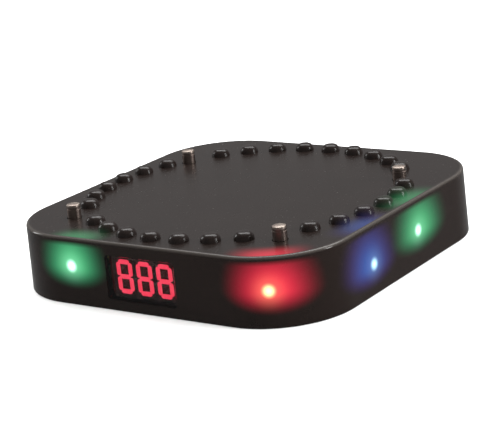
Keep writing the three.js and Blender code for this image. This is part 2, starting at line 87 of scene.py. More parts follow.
# ---- Material helpers -----------------------------------------------------------------------
# Every material is one Principled shader. Patterns are written as sums of values, and each sum
# becomes nodes.
class Wire:
    """A value in a material. Sums written on it become Math nodes."""

    def __init__(self, socket):
        self.socket = socket

    def math(self, operation, *others, flip=False):
        tree = self.socket.id_data
        node = tree.nodes.new("ShaderNodeMath")
        node.operation = operation
        terms = [*others, self] if flip else [self, *others]
        for slot, term in zip(node.inputs, terms):
            if isinstance(term, Wire):
                tree.links.new(term.socket, slot)
            else:
                slot.default_value = term
        return Wire(node.outputs[0])

    def __add__(self, other):
        return self.math("ADD", other)

    def __radd__(self, other):
        return self.math("ADD", other, flip=True)

    def __sub__(self, other):
        return self.math("SUBTRACT", other)

    def __rsub__(self, other):
        return self.math("SUBTRACT", other, flip=True)

    def __mul__(self, other):
        return self.math("MULTIPLY", other)

    def __rmul__(self, other):
        return self.math("MULTIPLY", other, flip=True)

    def __truediv__(self, other):
        return self.math("DIVIDE", other)

    def __pow__(self, other):
        return self.math("POWER", other)

    def __abs__(self):
        return self.math("ABSOLUTE")


class Finish:
    """A material with one Principled shader, whose sockets take plain values or wires."""

    def __init__(self, name, **sockets):
        self.material = bpy.data.materials.new(name)
        self.material.use_nodes = True
        self.tree = self.material.node_tree
        self.shader = self.tree.nodes["Principled BSDF"]
        self.set(**sockets)

    def set(self, **sockets):
        self.feed(self.shader, {name.replace("_", " "): value for name, value in sockets.items()})

    def feed(self, node, sockets):
        for name, value in sockets.items():
            if isinstance(value, Wire):
                self.tree.links.new(value.socket, node.inputs[name])
            else:
                node.inputs[name].default_value = value

    def node(self, kind, settings=None, sockets=None, output=0):
        """One node: its settings first, a ramp's stops among them, then its sockets."""
        made = self.tree.nodes.new("ShaderNode" + kind)
        for name, value in (settings or {}).items():
            if name == "stops":
                ramp = made.color_ramp.elements
                while len(ramp) < len(value):
                    ramp.new(1)
                for stop, (place, colour) in zip(ramp, value):
                    stop.position = place
                    stop.color = colour
            else:
                setattr(made, name, value)
        self.feed(made, sockets or {})
        return Wire(made.outputs[output])

    def place(self):
        return self.node("TexCoord", output="Object")

    def axes(self, place):
        split = self.node("SeparateXYZ", sockets={0: place}).socket.node
        return [Wire(split.outputs[i]) for i in range(3)]

    def noise(self, place, scale, detail=2.0, rough=0.5):
        sockets = {"Vector": place, "Scale": scale, "Detail": detail, "Roughness": rough}
        return self.node("TexNoise", sockets=sockets)

    def spread(self, value, low, high, to_low=0.0, to_high=1.0, smooth=False):
        """Value carried from one range to another and held inside it."""
        kind = "SMOOTHSTEP" if smooth else "LINEAR"
        ends = {"Value": value, "From Min": low, "From Max": high, "To Min": to_low, "To Max": to_high}
        return self.node("MapRange", {"interpolation_type": kind}, ends)

    def blend(self, share, first, second, how="MIX"):
        settings = {"data_type": "RGBA", "blend_type": how}
        return self.node("Mix", settings, {0: share, 6: first, 7: second}, output=2)

    def relief(self, height, depth, strength):
        """Turns a height pattern into the shader's normal. Depth is in metres."""
        sockets = {"Height": height, "Distance": depth, "Strength": strength}
        self.set(Normal=self.node("Bump", sockets=sockets))


def colour(red, green, blue):
    return (red, green, blue, 1.0)


def mesh_object(name, mesh):
    made = bpy.data.objects.new(name, mesh)
    bpy.context.scene.collection.objects.link(made)
    return made


# ---- Studio ---------------------------------------------------------------------------------
# A pale floor and backdrop, with large soft lamps and a dim room. The gloss mirrors the lamp
# behind the pager, a narrow strip on either side, and the room.
FLOOR_HALF = 1.2
FLOOR_GAP = 0.02 * MM
BACKDROP_RADIUS = 1.1
BACKDROP_FOOT = -1
BACKDROP_HEIGHT = 2.0
BACKDROP_SIDES = 64
ROOM_BRIGHTNESS = 0.28

floor_finish = Finish("pale_floor", Roughness=0.55)
floor_tone = floor_finish.noise(floor_finish.place(), 3.0)
floor_finish.set(
    Base_Color=floor_finish.blend(floor_tone, colour(0.80, 0.80, 0.80), colour(0.83, 0.83, 0.82))
)
floor_mesh = bpy.data.meshes.new("floor")
floor_height = cad_low.z - FLOOR_GAP
floor_mesh.from_pydata(
    [(x * FLOOR_HALF, y * FLOOR_HALF, floor_height) for x, y in ((-1, -1), (1, -1), (1, 1), (-1, 1))],
    [],
    [(0, 1, 2, 3)],
)
floor_mesh.materials.append(floor_finish.material)
floor = mesh_object("floor", floor_mesh)
floor.visible_glossy = False

backdrop_finish = Finish("pale_backdrop", Roughness=1.0, Emission_Strength=1.0)
backdrop_tone = backdrop_finish.noise(backdrop_finish.place(), 0.8)
backdrop_finish.set(
    Base_Color=colour(0.0, 0.0, 0.0),
    Emission_Color=backdrop_finish.blend(backdrop_tone, colour(0.96, 0.96, 0.96), colour(1.0, 1.0, 1.0)),
)
backdrop_rim = []
for height in (BACKDROP_FOOT, BACKDROP_HEIGHT):
    for i in range(BACKDROP_SIDES):
        angle = 2 * math.pi * i / BACKDROP_SIDES
        backdrop_rim.append((BACKDROP_RADIUS * math.cos(angle), BACKDROP_RADIUS * math.sin(angle), height))
backdrop_faces = []
for i in range(BACKDROP_SIDES):
    j = (i + 1) % BACKDROP_SIDES
    backdrop_faces.append((i, i + BACKDROP_SIDES, j + BACKDROP_SIDES, j))
backdrop_mesh = bpy.data.meshes.new("backdrop")
backdrop_mesh.from_pydata(backdrop_rim, [], backdrop_faces)
backdrop_mesh.materials.append(backdrop_finish.material)
backdrop = mesh_object("backdrop", backdrop_mesh)
backdrop.visible_glossy = False
backdrop.visible_diffuse = False
backdrop.visible_transmission = False
backdrop.visible_shadow = False


def soft_lamp(name, place, size, power, mirrored):
    """A soft lamp turned to the pager. The gloss leaves it out unless it is mirrored."""
    light = bpy.data.lights.new(name, "AREA")
    light.shape = "RECTANGLE"
    light.size, light.size_y = size
    light.energy = power
    lamp = bpy.data.objects.new(name, light)
    bpy.context.scene.collection.objects.link(lamp)
    lamp.location = place
    lamp.rotation_mode = "QUATERNION"
    lamp.rotation_quaternion = (-Vector(place)).to_track_quat("-Z", "Y")
    lamp.visible_glossy = mirrored


soft_lamp("lamp_behind", (-0.15, 0.65, 1.15), (1.6, 0.7), 24, True)
soft_lamp("lamp_right", (1.0, 0.35, 0.30), (0.5, 0.45), 12, False)
soft_lamp("strip_right", (1.0, 0.30, 0.34), (0.16, 0.42), 4.5, True)
soft_lamp("lamp_left", (-1.0, -0.1, 0.35), (0.5, 0.5), 3.5, False)
soft_lamp("strip_left", (-1.0, -0.1, 0.38), (0.18, 0.42), 2.2, True)
soft_lamp("lamp_fill", (0.05, -0.10, 1.30), (1.7, 1.7), 34, False)

world = bpy.data.worlds.new("room")
world.use_nodes = True
world.node_tree.nodes["Background"].inputs["Color"].default_value = colour(1.0, 1.0, 1.0)
world.node_tree.nodes["Background"].inputs["Strength"].default_value = ROOM_BRIGHTNESS
bpy.context.scene.world = world
bpy.context.scene.view_settings.view_transform = "Standard"


# ---- Body plan ------------------------------------------------------------------------------
# Every shell piece follows one rounded square, pulled in by the wall's draft as it rises. The
# helpers below build solids, join and cut them, smooth them and hang them on their bodies.
SIDE = cad_high.x - cad_low.x
CORNER = 21 * MM
BODY_TOP = 17.5 * MM
DRAFT = 0.4 * MM
WALL = 2 * MM
CORNER_STEPS = 28
WELD = 1e-6
ON_AXIS = 1e-7


def plan_points(inset):
    """The body's outline pulled in by an inset, anticlockwise seen from above."""
    middle = SIDE / 2 - CORNER
    reach = CORNER - inset
    points = []
    for corner, (sx, sy) in enumerate(((1, 1), (-1, 1), (-1, -1), (1, -1))):
        for step in range(CORNER_STEPS + 1):
            angle = (corner + step / CORNER_STEPS) * math.pi / 2
            points.append((sx * middle + reach * math.cos(angle), sy * middle + reach * math.sin(angle)))
    return points


def skinned(name, levels):
    """A closed shell through outlines at levels of (height, inset), from its first face to its last."""
    shape = bmesh.new()
    rings = []
    for height, inset in levels:
        rings.append([shape.verts.new((x, y, height)) for x, y in plan_points(inset)])
    for below, above in zip(rings, rings[1:]):
        for i in range(len(below)):
            j = (i + 1) % len(below)
            shape.faces.new((below[i], below[j], above[j], above[i]))
    shape.faces.new(rings[0][::-1])
    shape.faces.new(rings[-1])
    return finished(name, shape)


def finished(name, shape):
    """An object from a shape, with its doubled points welded and its faces turned outwards."""
    bmesh.ops.remove_doubles(shape, verts=shape.verts, dist=WELD)
    bmesh.ops.recalc_face_normals(shape, faces=shape.faces)
    mesh = bpy.data.meshes.new(name)
    shape.to_mesh(mesh)
    shape.free()
    return mesh_object(name, mesh)


def arc_levels(height, inset, radius, start, end, steps):
    """Levels round a quarter edge whose centre is at a height and an inset."""
    levels = []
    for step in range(steps + 1):
        angle = math.radians(start + (end - start) * step / steps)
        levels.append((height + radius * math.sin(angle), inset - radius * math.cos(angle)))
    return levels


def turned(name, profile, sides=40, place=(0, 0)):
    """A turned solid about +Z from (radius, height) pairs that start and end on the axis."""
    shape = bmesh.new()
    rings = []
    for radius, height in profile:
        if radius < ON_AXIS:
            rings.append([shape.verts.new((place[0], place[1], height))])
            continue
        turn = [2 * math.pi * i / sides for i in range(sides)]
        rings.append([
            shape.verts.new((place[0] + radius * math.cos(a), place[1] + radius * math.sin(a), height))
            for a in turn
        ])
    for below, above in zip(rings, rings[1:]):
        for i in range(sides):
            j = (i + 1) % sides
            lower = [below[i % len(below)], below[j % len(below)]]
            upper = [above[j % len(above)], above[i % len(above)]]
            corners = list(dict.fromkeys(lower + upper))
            if len(corners) > 2:
                shape.faces.new(corners)
    return finished(name, shape)


def settled(piece):
    """Applies a piece's modifiers and gives it back as a plain mesh at the origin."""
    bpy.context.view_layer.update()
    graph = bpy.context.evaluated_depsgraph_get()
    mesh = bpy.data.meshes.new_from_object(piece.evaluated_get(graph), depsgraph=graph)
    piece.modifiers.clear()
    piece.data = mesh
    return piece


def combine(piece, operation, others):
    """Adds other solids to a piece or cuts them out of it, and uses them up."""
    for other in others:
        change = piece.modifiers.new("change", "BOOLEAN")
        change.solver = "EXACT"
        change.operation = operation
        change.object = other
    settled(piece)
    for other in others:
        bpy.data.objects.remove(other)
    return piece


def cut(piece, *cutters):
    return combine(piece, "DIFFERENCE", cutters)


def fuse(piece, *additions):
    return combine(piece, "UNION", additions)


def smooth(piece, angle=32):
    """Smooth faces with crisp edges past an angle, and flat faces that stay flat."""
    for face in piece.data.polygons:
        face.use_smooth = True
    piece.data.set_sharp_from_angle(angle=math.radians(angle))
    weights = piece.modifiers.new("weights", "WEIGHTED_NORMAL")
    weights.keep_sharp = True
    return settled(piece)


def fit(piece, finish, slot, body, *replaced):
    """Gives a piece its finish, hangs it on its body and hides the CAD nodes that it stands for."""
    piece.data.materials.clear()
    piece.data.materials.append(finish.material)
    if replaced:
        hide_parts(*replaced)
    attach(piece, body)
    return piece


def middle_of(node):
    low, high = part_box(node)
    return (low + high) / 2


POST_NODES = sorted(name for name in nodes if name.startswith("charging_post_"))
PAD_NODES = sorted(name for name in nodes if name.startswith("contact_pad_"))
SCREW_NODES = sorted(name for name in nodes if name.startswith("cover_screw_"))
LAMP_NODES = sorted(name for name in nodes if name.startswith("lamp_"))

# ---- Bottom cover ---------------------------------------------------------------------------
# A moulded plate let into the foot of the wall. It has standoffs for the board, counterbored
# screw holes, round openings for the four contact pads and one for the button.
COVER_THICK = 1.8 * MM
COVER_EDGE = 1.3 * MM
COVER_CHAMFER = 0.25 * MM
STANDOFF = 2.6 * MM
STANDOFF_GAP = 0.1 * MM
COUNTERBORE = 2.6 * MM
COUNTERBORE_DEPTH = 1.1 * MM
COUNTERBORE_LEAD = 0.15 * MM
SCREW_PASSAGE = 1.2 * MM
BUTTON_PASSAGE = 3.15 * MM
BUTTON_POCKET = 4.4 * MM
BUTTON_POCKET_SINK = 0.7 * MM
PAD_PASSAGE = 3.15 * MM
board_low, board_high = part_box("main_board")
button_low, button_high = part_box("power_button")
button_place = middle_of("power_button")


def peg(radius, low, high, place, sides=40):
    return turned("peg", [(0, low), (radius, low), (radius, high), (0, high)], sides, place)


def joined(name, parts):
    """Several separate solids as one mesh."""
    shape = bmesh.new()
    for part in parts:
        shape.from_mesh(part.data)
        bpy.data.objects.remove(part)
    mesh = bpy.data.meshes.new(name)
    shape.to_mesh(mesh)
    shape.free()
    return mesh_object(name, mesh)


bottom_cover = skinned("bottom_cover_panel", [
    (0.0, COVER_EDGE + COVER_CHAMFER),
    (COVER_CHAMFER, COVER_EDGE),
    (COVER_THICK, COVER_EDGE),
])
openings = []
standoffs = []
standoff_top = board_low.z - STANDOFF_GAP
for node in SCREW_NODES:
    spot = middle_of(node)[:2]
    standoffs.append(peg(STANDOFF, COVER_THICK / 2, standoff_top, spot))
    openings.append(turned("counterbore", [
        (0, -MM),
        (COUNTERBORE + COUNTERBORE_LEAD, -MM),
        (COUNTERBORE + COUNTERBORE_LEAD, 0),
        (COUNTERBORE, COUNTERBORE_LEAD),
        (COUNTERBORE, COUNTERBORE_DEPTH),
        (SCREW_PASSAGE, COUNTERBORE_DEPTH),
        (SCREW_PASSAGE, 5 * MM),
        (0, 5 * MM),
    ], place=spot))
for node in PAD_NODES:
    openings.append(peg(PAD_PASSAGE, -MM, 3 * MM, middle_of(node)[:2]))
pocket_floor = button_high.z - BUTTON_POCKET_SINK
openings.append(turned("button_opening", [
    (0, -MM),
    (BUTTON_PASSAGE + 0.35 * MM, -MM),
    (BUTTON_PASSAGE + 0.35 * MM, 0),
    (BUTTON_PASSAGE, 0.3 * MM),
    (BUTTON_PASSAGE, pocket_floor),
    (BUTTON_POCKET, pocket_floor),
    (BUTTON_POCKET, 3 * MM),
    (0, 3 * MM),
], place=button_place[:2]))
fuse(bottom_cover, joined("standoffs", standoffs))
smooth(cut(bottom_cover, joined("openings", openings)))

cover_finish = Finish("matt_smoked_cover", Metallic=0.0, IOR=1.49)
cover_place = cover_finish.place()
cover_grain = cover_finish.noise(cover_place, 2600.0, 3.0, 0.6)
cover_patch = cover_finish.noise(cover_place, 45.0, 3.0)
cover_scuff = cover_finish.spread(cover_finish.noise(cover_place, 190.0, 6.0, 0.75), 0.62, 0.74)
cover_finish.set(
    Base_Color=cover_finish.blend(
        cover_scuff * 0.4 + cover_patch * 0.3, colour(0.013, 0.011, 0.010), colour(0.032, 0.028, 0.026)
    ),
    Roughness=0.42 + 0.14 * cover_grain + 0.10 * cover_scuff,
)
cover_finish.relief(cover_grain, 0.03 * MM, 0.6)
fit(bottom_cover, cover_finish, "smoked_cover", "housing", "bottom_cover")

# ---- Contact pads ---------------------------------------------------------------------------
# Turned and plated discs, flush with the underside. The posts of the pager below press on them.
PAD_RADIUS = 3.0 * MM
PAD_FLANGE = 4.0 * MM
PAD_STUB = 1.6 * MM
PAD_LEDGE = 1.9 * MM
PAD_FLANGE_TOP = 2.5 * MM


def plated_finish(name, base, bright, wear_height, wear_depth):
    """Dark plated brass: fine turning marks round the axis, bright where it has worn."""
    made = Finish(name, Metallic=1.0)
    place = made.place()
    height = made.axes(place)[2]
    stretched = made.node("Mapping", sockets={"Vector": place, "Scale": (0.15, 0.15, 6.0)})
    marks = made.noise(stretched, 900.0, 4.0, 0.6)
    stain = made.noise(place, 380.0, 4.0, 0.6)
    wear = made.spread(height, wear_height - wear_depth, wear_height, smooth=True)
    wear = wear * made.spread(stain, 0.30, 0.62)
    plate = made.blend(stain, colour(*base), colour(*[channel * 1.6 for channel in base]))
    made.set(
        Base_Color=made.blend(wear, plate, bright),
        Roughness=0.26 + 0.18 * marks + 0.16 * stain,
    )
    made.relief(marks, 0.02 * MM, 0.5)
    return made


pad_finish = plated_finish("plated_pad", (0.22, 0.17, 0.14), colour(0.55, 0.50, 0.45), 0.0, -0.4 * MM)
for node in PAD_NODES:
    spot = middle_of(node)
    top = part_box(node)[1].z
    pad = turned(node.replace("contact_pad", "pad"), [
        (0, 0.12 * MM),
        (0.5 * MM, 0.10 * MM),
        (0.9 * MM, 0.0),
        (PAD_RADIUS - 0.3 * MM, 0.0),
        (PAD_RADIUS - 0.09 * MM, 0.09 * MM),
        (PAD_RADIUS, 0.3 * MM),
        (PAD_RADIUS, PAD_LEDGE),
        (PAD_FLANGE - 0.1 * MM, PAD_LEDGE),
        (PAD_FLANGE, PAD_LEDGE + 0.1 * MM),
        (PAD_FLANGE, PAD_FLANGE_TOP - 0.1 * MM),
        (PAD_FLANGE - 0.1 * MM, PAD_FLANGE_TOP),
        (PAD_STUB, PAD_FLANGE_TOP),
        (PAD_STUB, top - 0.1 * MM),
        (PAD_STUB - 0.1 * MM, top),
        (0, top),
    ], 48, spot[:2])
    fit(smooth(pad), pad_finish, "bronze_post", "housing", node)

# ---- Power button ---------------------------------------------------------------------------
# A moulded cap in the underside. Its flange lies in the cover's pocket, and a nylon plunger
# carries the push into a well in the switch that hangs from the board.
BUTTON_RADIUS = 3.0 * MM
BUTTON_FLANGE = 4.2 * MM
BUTTON_RIM = 0.6 * MM
BUTTON_FACE = button_low.z
BUTTON_DISH = 0.18 * MM
PLUNGER_RADIUS = 1.1 * MM
SWITCH_WELL = 1.4 * MM
SWITCH_ROOF = 0.25 * MM

button = turned("power_button_cap", [
    (0, BUTTON_FACE + BUTTON_DISH),
    (0.9 * MM, BUTTON_FACE + 0.94 * BUTTON_DISH),
    (1.6 * MM, BUTTON_FACE + 0.72 * BUTTON_DISH),
    (2.2 * MM, BUTTON_FACE + 0.30 * BUTTON_DISH),
    (BUTTON_RADIUS - 0.45 * MM, BUTTON_FACE),
    (BUTTON_RADIUS - 0.2 * MM, BUTTON_FACE + 0.04 * MM),
    (BUTTON_RADIUS - 0.06 * MM, BUTTON_FACE + 0.14 * MM),
    (BUTTON_RADIUS, BUTTON_FACE + 0.3 * MM),
    (BUTTON_RADIUS, button_high.z - BUTTON_RIM),
    (BUTTON_FLANGE - 0.08 * MM, button_high.z - BUTTON_RIM),
    (BUTTON_FLANGE, button_high.z - BUTTON_RIM + 0.08 * MM),
    (BUTTON_FLANGE, button_high.z - 0.08 * MM),
    (BUTTON_FLANGE - 0.08 * MM, button_high.z),
    (0, button_high.z),
], 64, button_place[:2])
fit(smooth(button), cover_finish, "smoked_cover", "button", "power_button")


def moulded_finish(name, dark, light, rough, grain_size=1500.0, grain_depth=0.02 * MM):
    """Plain moulded plastic: faint flow marks in its colour, and a fine grain."""
    made = Finish(name, IOR=1.5)
    place = made.place()
    flow = made.noise(place, 120.0, 4.0, 0.6)
    grain = made.noise(place, grain_size, 3.0, 0.6)
    made.set(
        Base_Color=made.blend(flow * 0.7 + grain * 0.3, colour(*dark), colour(*light)),
        Roughness=rough + 0.16 * (grain - 0.5) + 0.10 * (flow - 0.5),
    )
    made.relief(grain, grain_depth, 0.5)
    return made


nylon_finish = moulded_finish("natural_nylon", (0.60, 0.56, 0.46), (0.78, 0.74, 0.64), 0.48)
plunger_low, plunger_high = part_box("switch_plunger")
plunger = turned("switch_plunger_pin", [
    (0, plunger_low.z),
    (PLUNGER_RADIUS - 0.15 * MM, plunger_low.z),
    (PLUNGER_RADIUS, plunger_low.z + 0.12 * MM),
    (PLUNGER_RADIUS, plunger_high.z - 0.12 * MM),
    (PLUNGER_RADIUS - 0.15 * MM, plunger_high.z),
    (0, plunger_high.z),
], 40, button_place[:2])
fit(smooth(plunger), nylon_finish, "nylon", "button", "switch_plunger")


def block_shape(low, high):
    shape = bmesh.new()
    bmesh.ops.create_cube(shape, size=1.0)
    for vert in shape.verts:
        for axis in range(3):
            vert.co[axis] = low[axis] if vert.co[axis] < 0 else high[axis]
    return shape


def brick(name, low, high, rounding=0.0, steps=3):
    """A block between two corners, with its edges rounded."""
    shape = block_shape(low, high)
    if rounding:
        edges = shape.edges[:]
        bmesh.ops.bevel(shape, geom=edges, offset=rounding, segments=steps, profile=0.5, affect="EDGES")
    return finished(name, shape)


epoxy_finish = moulded_finish("black_epoxy", (0.010, 0.010, 0.011), (0.022, 0.022, 0.024), 0.55)
switch_low, switch_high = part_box("power_switch")
switch = brick("power_switch_body", switch_low, switch_high, 0.12 * MM)
cut(switch, peg(SWITCH_WELL, switch_low.z - MM, switch_high.z - SWITCH_ROOF, button_place[:2], 48))
fit(smooth(switch), epoxy_finish, "epoxy", "housing", "power_switch")

# ---- Main board -----------------------------------------------------------------------------
# A glass-fibre board under green solder mask, notched at the front for the digit block. Bare
# rings round the screw and post holes, tracks under the mask, sawn edges.
BOARD_INSET = 4.5 * MM
NOTCH_HALF = 11.9 * MM
NOTCH_BACK = -36.6 * MM
POST_STEM_HOLE = 1.2 * MM
BOARD_SCREW_HOLE = 1.3 * MM
BARE_RING = 1.3 * MM
BARE_RING_EDGE = 0.1 * MM
BOARD_CHAMFER = 0.08 * MM
HOLE_CUT_TOP = 0.01
TRACK_ROW = 1.9 * MM
TRACK_LENGTH = 7.3 * MM
TRACK_GAP = 0.16 * MM

board = skinned("main_board_panel", [
    (board_low.z, BOARD_INSET + BOARD_CHAMFER),
    (board_low.z + BOARD_CHAMFER, BOARD_INSET),
    (board_high.z - BOARD_CHAMFER, BOARD_INSET),
    (board_high.z, BOARD_INSET + BOARD_CHAMFER),
])
board_holes = [peg(POST_STEM_HOLE, 0, HOLE_CUT_TOP, middle_of(node)[:2]) for node in POST_NODES]
board_holes += [peg(BOARD_SCREW_HOLE, 0, HOLE_CUT_TOP, middle_of(node)[:2]) for node in SCREW_NODES]
notch = brick("notch", (-NOTCH_HALF, -SIDE / 2, 0), (NOTCH_HALF, NOTCH_BACK, HOLE_CUT_TOP))
smooth(cut(board, joined("board_holes", board_holes), notch))

board_finish = Finish("green_solder_mask", IOR=1.5)
board_spot = board_finish.place()
board_x, board_y, board_z = board_finish.axes(board_spot)
weave = board_finish.noise(board_spot, 1400.0, 3.0)
tracks = board_finish.node("TexBrick", {"offset": 0.37, "squash": 0.6, "squash_frequency": 3}, {
    "Vector": board_spot, "Scale": 1.0, "Mortar Size": TRACK_GAP, "Mortar Smooth": 0.2,
    "Brick Width": TRACK_LENGTH, "Row Height": TRACK_ROW,
}, output="Fac")
ring_reach = BOARD_SCREW_HOLE + BARE_RING
rings = None
for node in POST_NODES + SCREW_NODES:
    spot = middle_of(node)
    reach = ((board_x - spot.x) ** 2.0 + (board_y - spot.y) ** 2.0).math("SQRT")
    ring = board_finish.spread(reach, ring_reach, ring_reach + BARE_RING_EDGE, 1.0, 0.0)
    rings = ring if rings is None else rings.math("MAXIMUM", ring)
from_middle = abs(board_z - (board_low.z + board_high.z) / 2)
sawn = board_finish.spread(from_middle, 0.50 * MM, 0.56 * MM, 1.0, 0.0)
mask_tone = board_finish.blend(weave, colour(0.006, 0.070, 0.022), colour(0.010, 0.105, 0.036))
mask_tone = board_finish.blend(tracks * 0.55, mask_tone, colour(0.03, 0.19, 0.07))
fibre_tone = board_finish.blend(weave, colour(0.30, 0.27, 0.15), colour(0.42, 0.38, 0.22))
mask_tone = board_finish.blend(sawn, mask_tone, fibre_tone)
board_finish.set(
    Base_Color=board_finish.blend(rings * (1 - sawn), mask_tone, colour(0.62, 0.60, 0.56)),
    Metallic=rings * (1 - sawn) * 0.9,
    Roughness=0.30 + 0.10 * weave + 0.35 * sawn,
)
board_finish.relief(tracks + weave * 0.2, 0.03 * MM, 0.5)
fit(board, board_finish, "solder_mask", "housing", "main_board")

# ---- Chips and crystal ----------------------------------------------------------------------
# Two flat black packages on gull legs, a small square one with its contacts underneath, and the
# crystal in its pressed steel can.
LEG_WIDE = 0.3 * MM
LEG_THICK = 0.14 * MM
LEG_REACH = 0.9 * MM
LEG_ROOT = 0.3 * MM
LEG_RISE = 0.6 * MM


def gull_legs(low, high, along, pitch, count, foot):
    """Legs down two opposite sides of a chip: out of its side, down, and flat on the board."""
    legs = []
    across = 1 - along
    middle = (low + high) / 2
    for side in (-1, 1):
        face = high[across] if side > 0 else low[across]
        for i in range(count):
            centre = middle[along] + (i - (count - 1) / 2) * pitch
            for start, end, under, top in (
                (-LEG_ROOT, 0.4 * MM, foot + LEG_RISE, foot + LEG_RISE + LEG_THICK),
                (LEG_ROOT, LEG_ROOT + LEG_THICK, foot, foot + LEG_RISE + LEG_THICK),
                (LEG_ROOT, LEG_REACH, foot, foot + LEG_THICK),
            ):
                a, b = sorted((face + side * start, face + side * end))
                corners = [Vector((0, 0, under)), Vector((0, 0, top))]
                corners[0][along], corners[1][along] = centre - LEG_WIDE / 2, centre + LEG_WIDE / 2
                corners[0][across], corners[1][across] = a, b
                legs.append(brick("leg", *corners))
    return legs


def metal_finish(name, dark, light, rough, stretch=(1.0, 1.0, 1.0)):
    """Bare or plated metal with a fine drawn grain and cloudy stains."""
    made = Finish(name, Metallic=1.0)
    place = made.place()
    drawn = made.noise(made.node("Mapping", sockets={"Vector": place, "Scale": stretch}), 1200.0, 4.0, 0.6)
    cloud = made.noise(place, 210.0, 4.0, 0.6)
    made.set(
        Base_Color=made.blend(cloud * 0.7 + drawn * 0.3, colour(*dark), colour(*light)),
        Roughness=rough + 0.14 * (drawn - 0.5) + 0.16 * (cloud - 0.5),
    )
    made.relief(drawn, 0.012 * MM, 0.5)
    return made


tinned_finish = metal_finish("tinned_leg", (0.50, 0.50, 0.49), (0.66, 0.66, 0.64), 0.32)
chip_low, chip_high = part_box("controller_chip")
controller_legs = gull_legs(chip_low, chip_high, 0, 0.8 * MM, 10, board_high.z)
controller_legs += gull_legs(chip_low, chip_high, 1, 0.8 * MM, 10, board_high.z)
fit(joined("controller_legs", controller_legs), tinned_finish, "steel", "housing")
charger_low, charger_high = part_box("charger_chip")
charger_legs = gull_legs(charger_low, charger_high, 1, 1.27 * MM, 4, board_high.z)
fit(joined("charger_legs", charger_legs), tinned_finish, "steel", "housing")
for node in ("controller_chip", "radio_chip", "charger_chip"):
    low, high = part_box(node)
    package = brick(node.replace("chip", "package"), low, high, 0.14 * MM)
    fit(smooth(package), epoxy_finish, "epoxy", "housing", node)


def refined(name, node, rounding, steps=3):
    """A CAD node's own shape with its facets merged and its edges rounded."""
    shape = bmesh.new()
    shape.from_mesh(nodes[node].data)
    bmesh.ops.remove_doubles(shape, verts=shape.verts, dist=WELD)
    bmesh.ops.dissolve_limit(shape, angle_limit=math.radians(1), verts=shape.verts, edges=shape.edges)
    crisp = [edge for edge in shape.edges if edge.calc_face_angle(0) > math.radians(40)]
    bmesh.ops.bevel(shape, geom=crisp, offset=rounding, segments=steps, profile=0.5, affect="EDGES")
    return finished(name, shape)


steel_finish = metal_finish("satin_steel", (0.42, 0.41, 0.39), (0.58, 0.57, 0.55), 0.30, (1.0, 0.1, 1.0))
fit(smooth(refined("crystal_can", "crystal", 0.45 * MM, 4)), steel_finish, "steel", "housing", "crystal")

# ---- Radio aerial ---------------------------------------------------------------------------
# Bare copper wire wound as an open spring of six turns, lying over the board.
AERIAL_TURNS = 6
AERIAL_STEPS = 28
AERIAL_WIRE = 0.4 * MM


class Tree:
    """A Geometry Nodes tree: named inputs first, then nodes linked by their sockets."""

    def __init__(self, name, inputs):
        self.group = bpy.data.node_groups.new(name, "GeometryNodeTree")
        self.group.interface.new_socket("Geometry", in_out="INPUT", socket_type="NodeSocketGeometry")
        self.group.interface.new_socket("Geometry", in_out="OUTPUT", socket_type="NodeSocketGeometry")
        for label, kind in inputs.items():
            self.group.interface.new_socket(label, in_out="INPUT", socket_type="NodeSocket" + kind)
        self.source = self.group.nodes.new("NodeGroupInput")
        self.sink = self.group.nodes.new("NodeGroupOutput")

    def add(self, kind, settings=None, sockets=None):
        made = self.group.nodes.new(kind)
        for label, value in (settings or {}).items():
            setattr(made, label, value)
        for label, value in (sockets or {}).items():
            if isinstance(value, bpy.types.NodeSocket):
                self.group.links.new(value, made.inputs[label])
            else:
                made.inputs[label].default_value = value
        return made

    def maths(self, operation, *terms):
        sockets = dict(enumerate(terms))
        return self.add("ShaderNodeMath", {"operation": operation}, sockets).outputs[0]

    def dress(self, geometry, finish):
        """The tree's end: real geometry, smooth, in its finish."""
        real = self.add("GeometryNodeRealizeInstances", sockets={"Geometry": geometry})
        even = self.add("GeometryNodeSetShadeSmooth", sockets={"Geometry": real.outputs[0]})
        coat = {"Geometry": even.outputs[0], "Material": finish}
        dressed = self.add("GeometryNodeSetMaterial", sockets=coat)
        self.group.links.new(dressed.outputs[0], self.sink.inputs[0])
        return self

    def grow(self, piece, values):
        """Runs the tree on a piece and leaves it a plain mesh."""
        modifier = piece.modifiers.new(self.group.name, "NODES")
        modifier.node_group = self.group
        for item in self.group.interface.items_tree:
            if item.in_out == "INPUT" and item.name in values:
                modifier[item.identifier] = values[item.name]
        return settled(piece)


def wire_tree():
    """Turns a chain of points into a round wire with closed ends."""
    tree = Tree("round_wire", {"Radius": "Float", "Sides": "Int", "Finish": "Material"})
    given = tree.source.outputs
    line = tree.add("GeometryNodeMeshToCurve", sockets={"Mesh": given["Geometry"]})
    section = tree.add("GeometryNodeCurvePrimitiveCircle", sockets={
        "Resolution": given["Sides"], "Radius": given["Radius"],
    })
    wire = tree.add("GeometryNodeCurveToMesh", sockets={
        "Curve": line.outputs[0], "Profile Curve": section.outputs[0], "Fill Caps": True,
    })
    return tree.dress(wire.outputs[0], given["Finish"])


round_wire = wire_tree()


def wire(name, points, radius, finish):
    chain = bpy.data.meshes.new(name)
    chain.from_pydata(points, [(i, i + 1) for i in range(len(points) - 1)], [])
    values = {"Radius": radius, "Sides": 12, "Finish": finish.material}
    return round_wire.grow(mesh_object(name, chain), values)


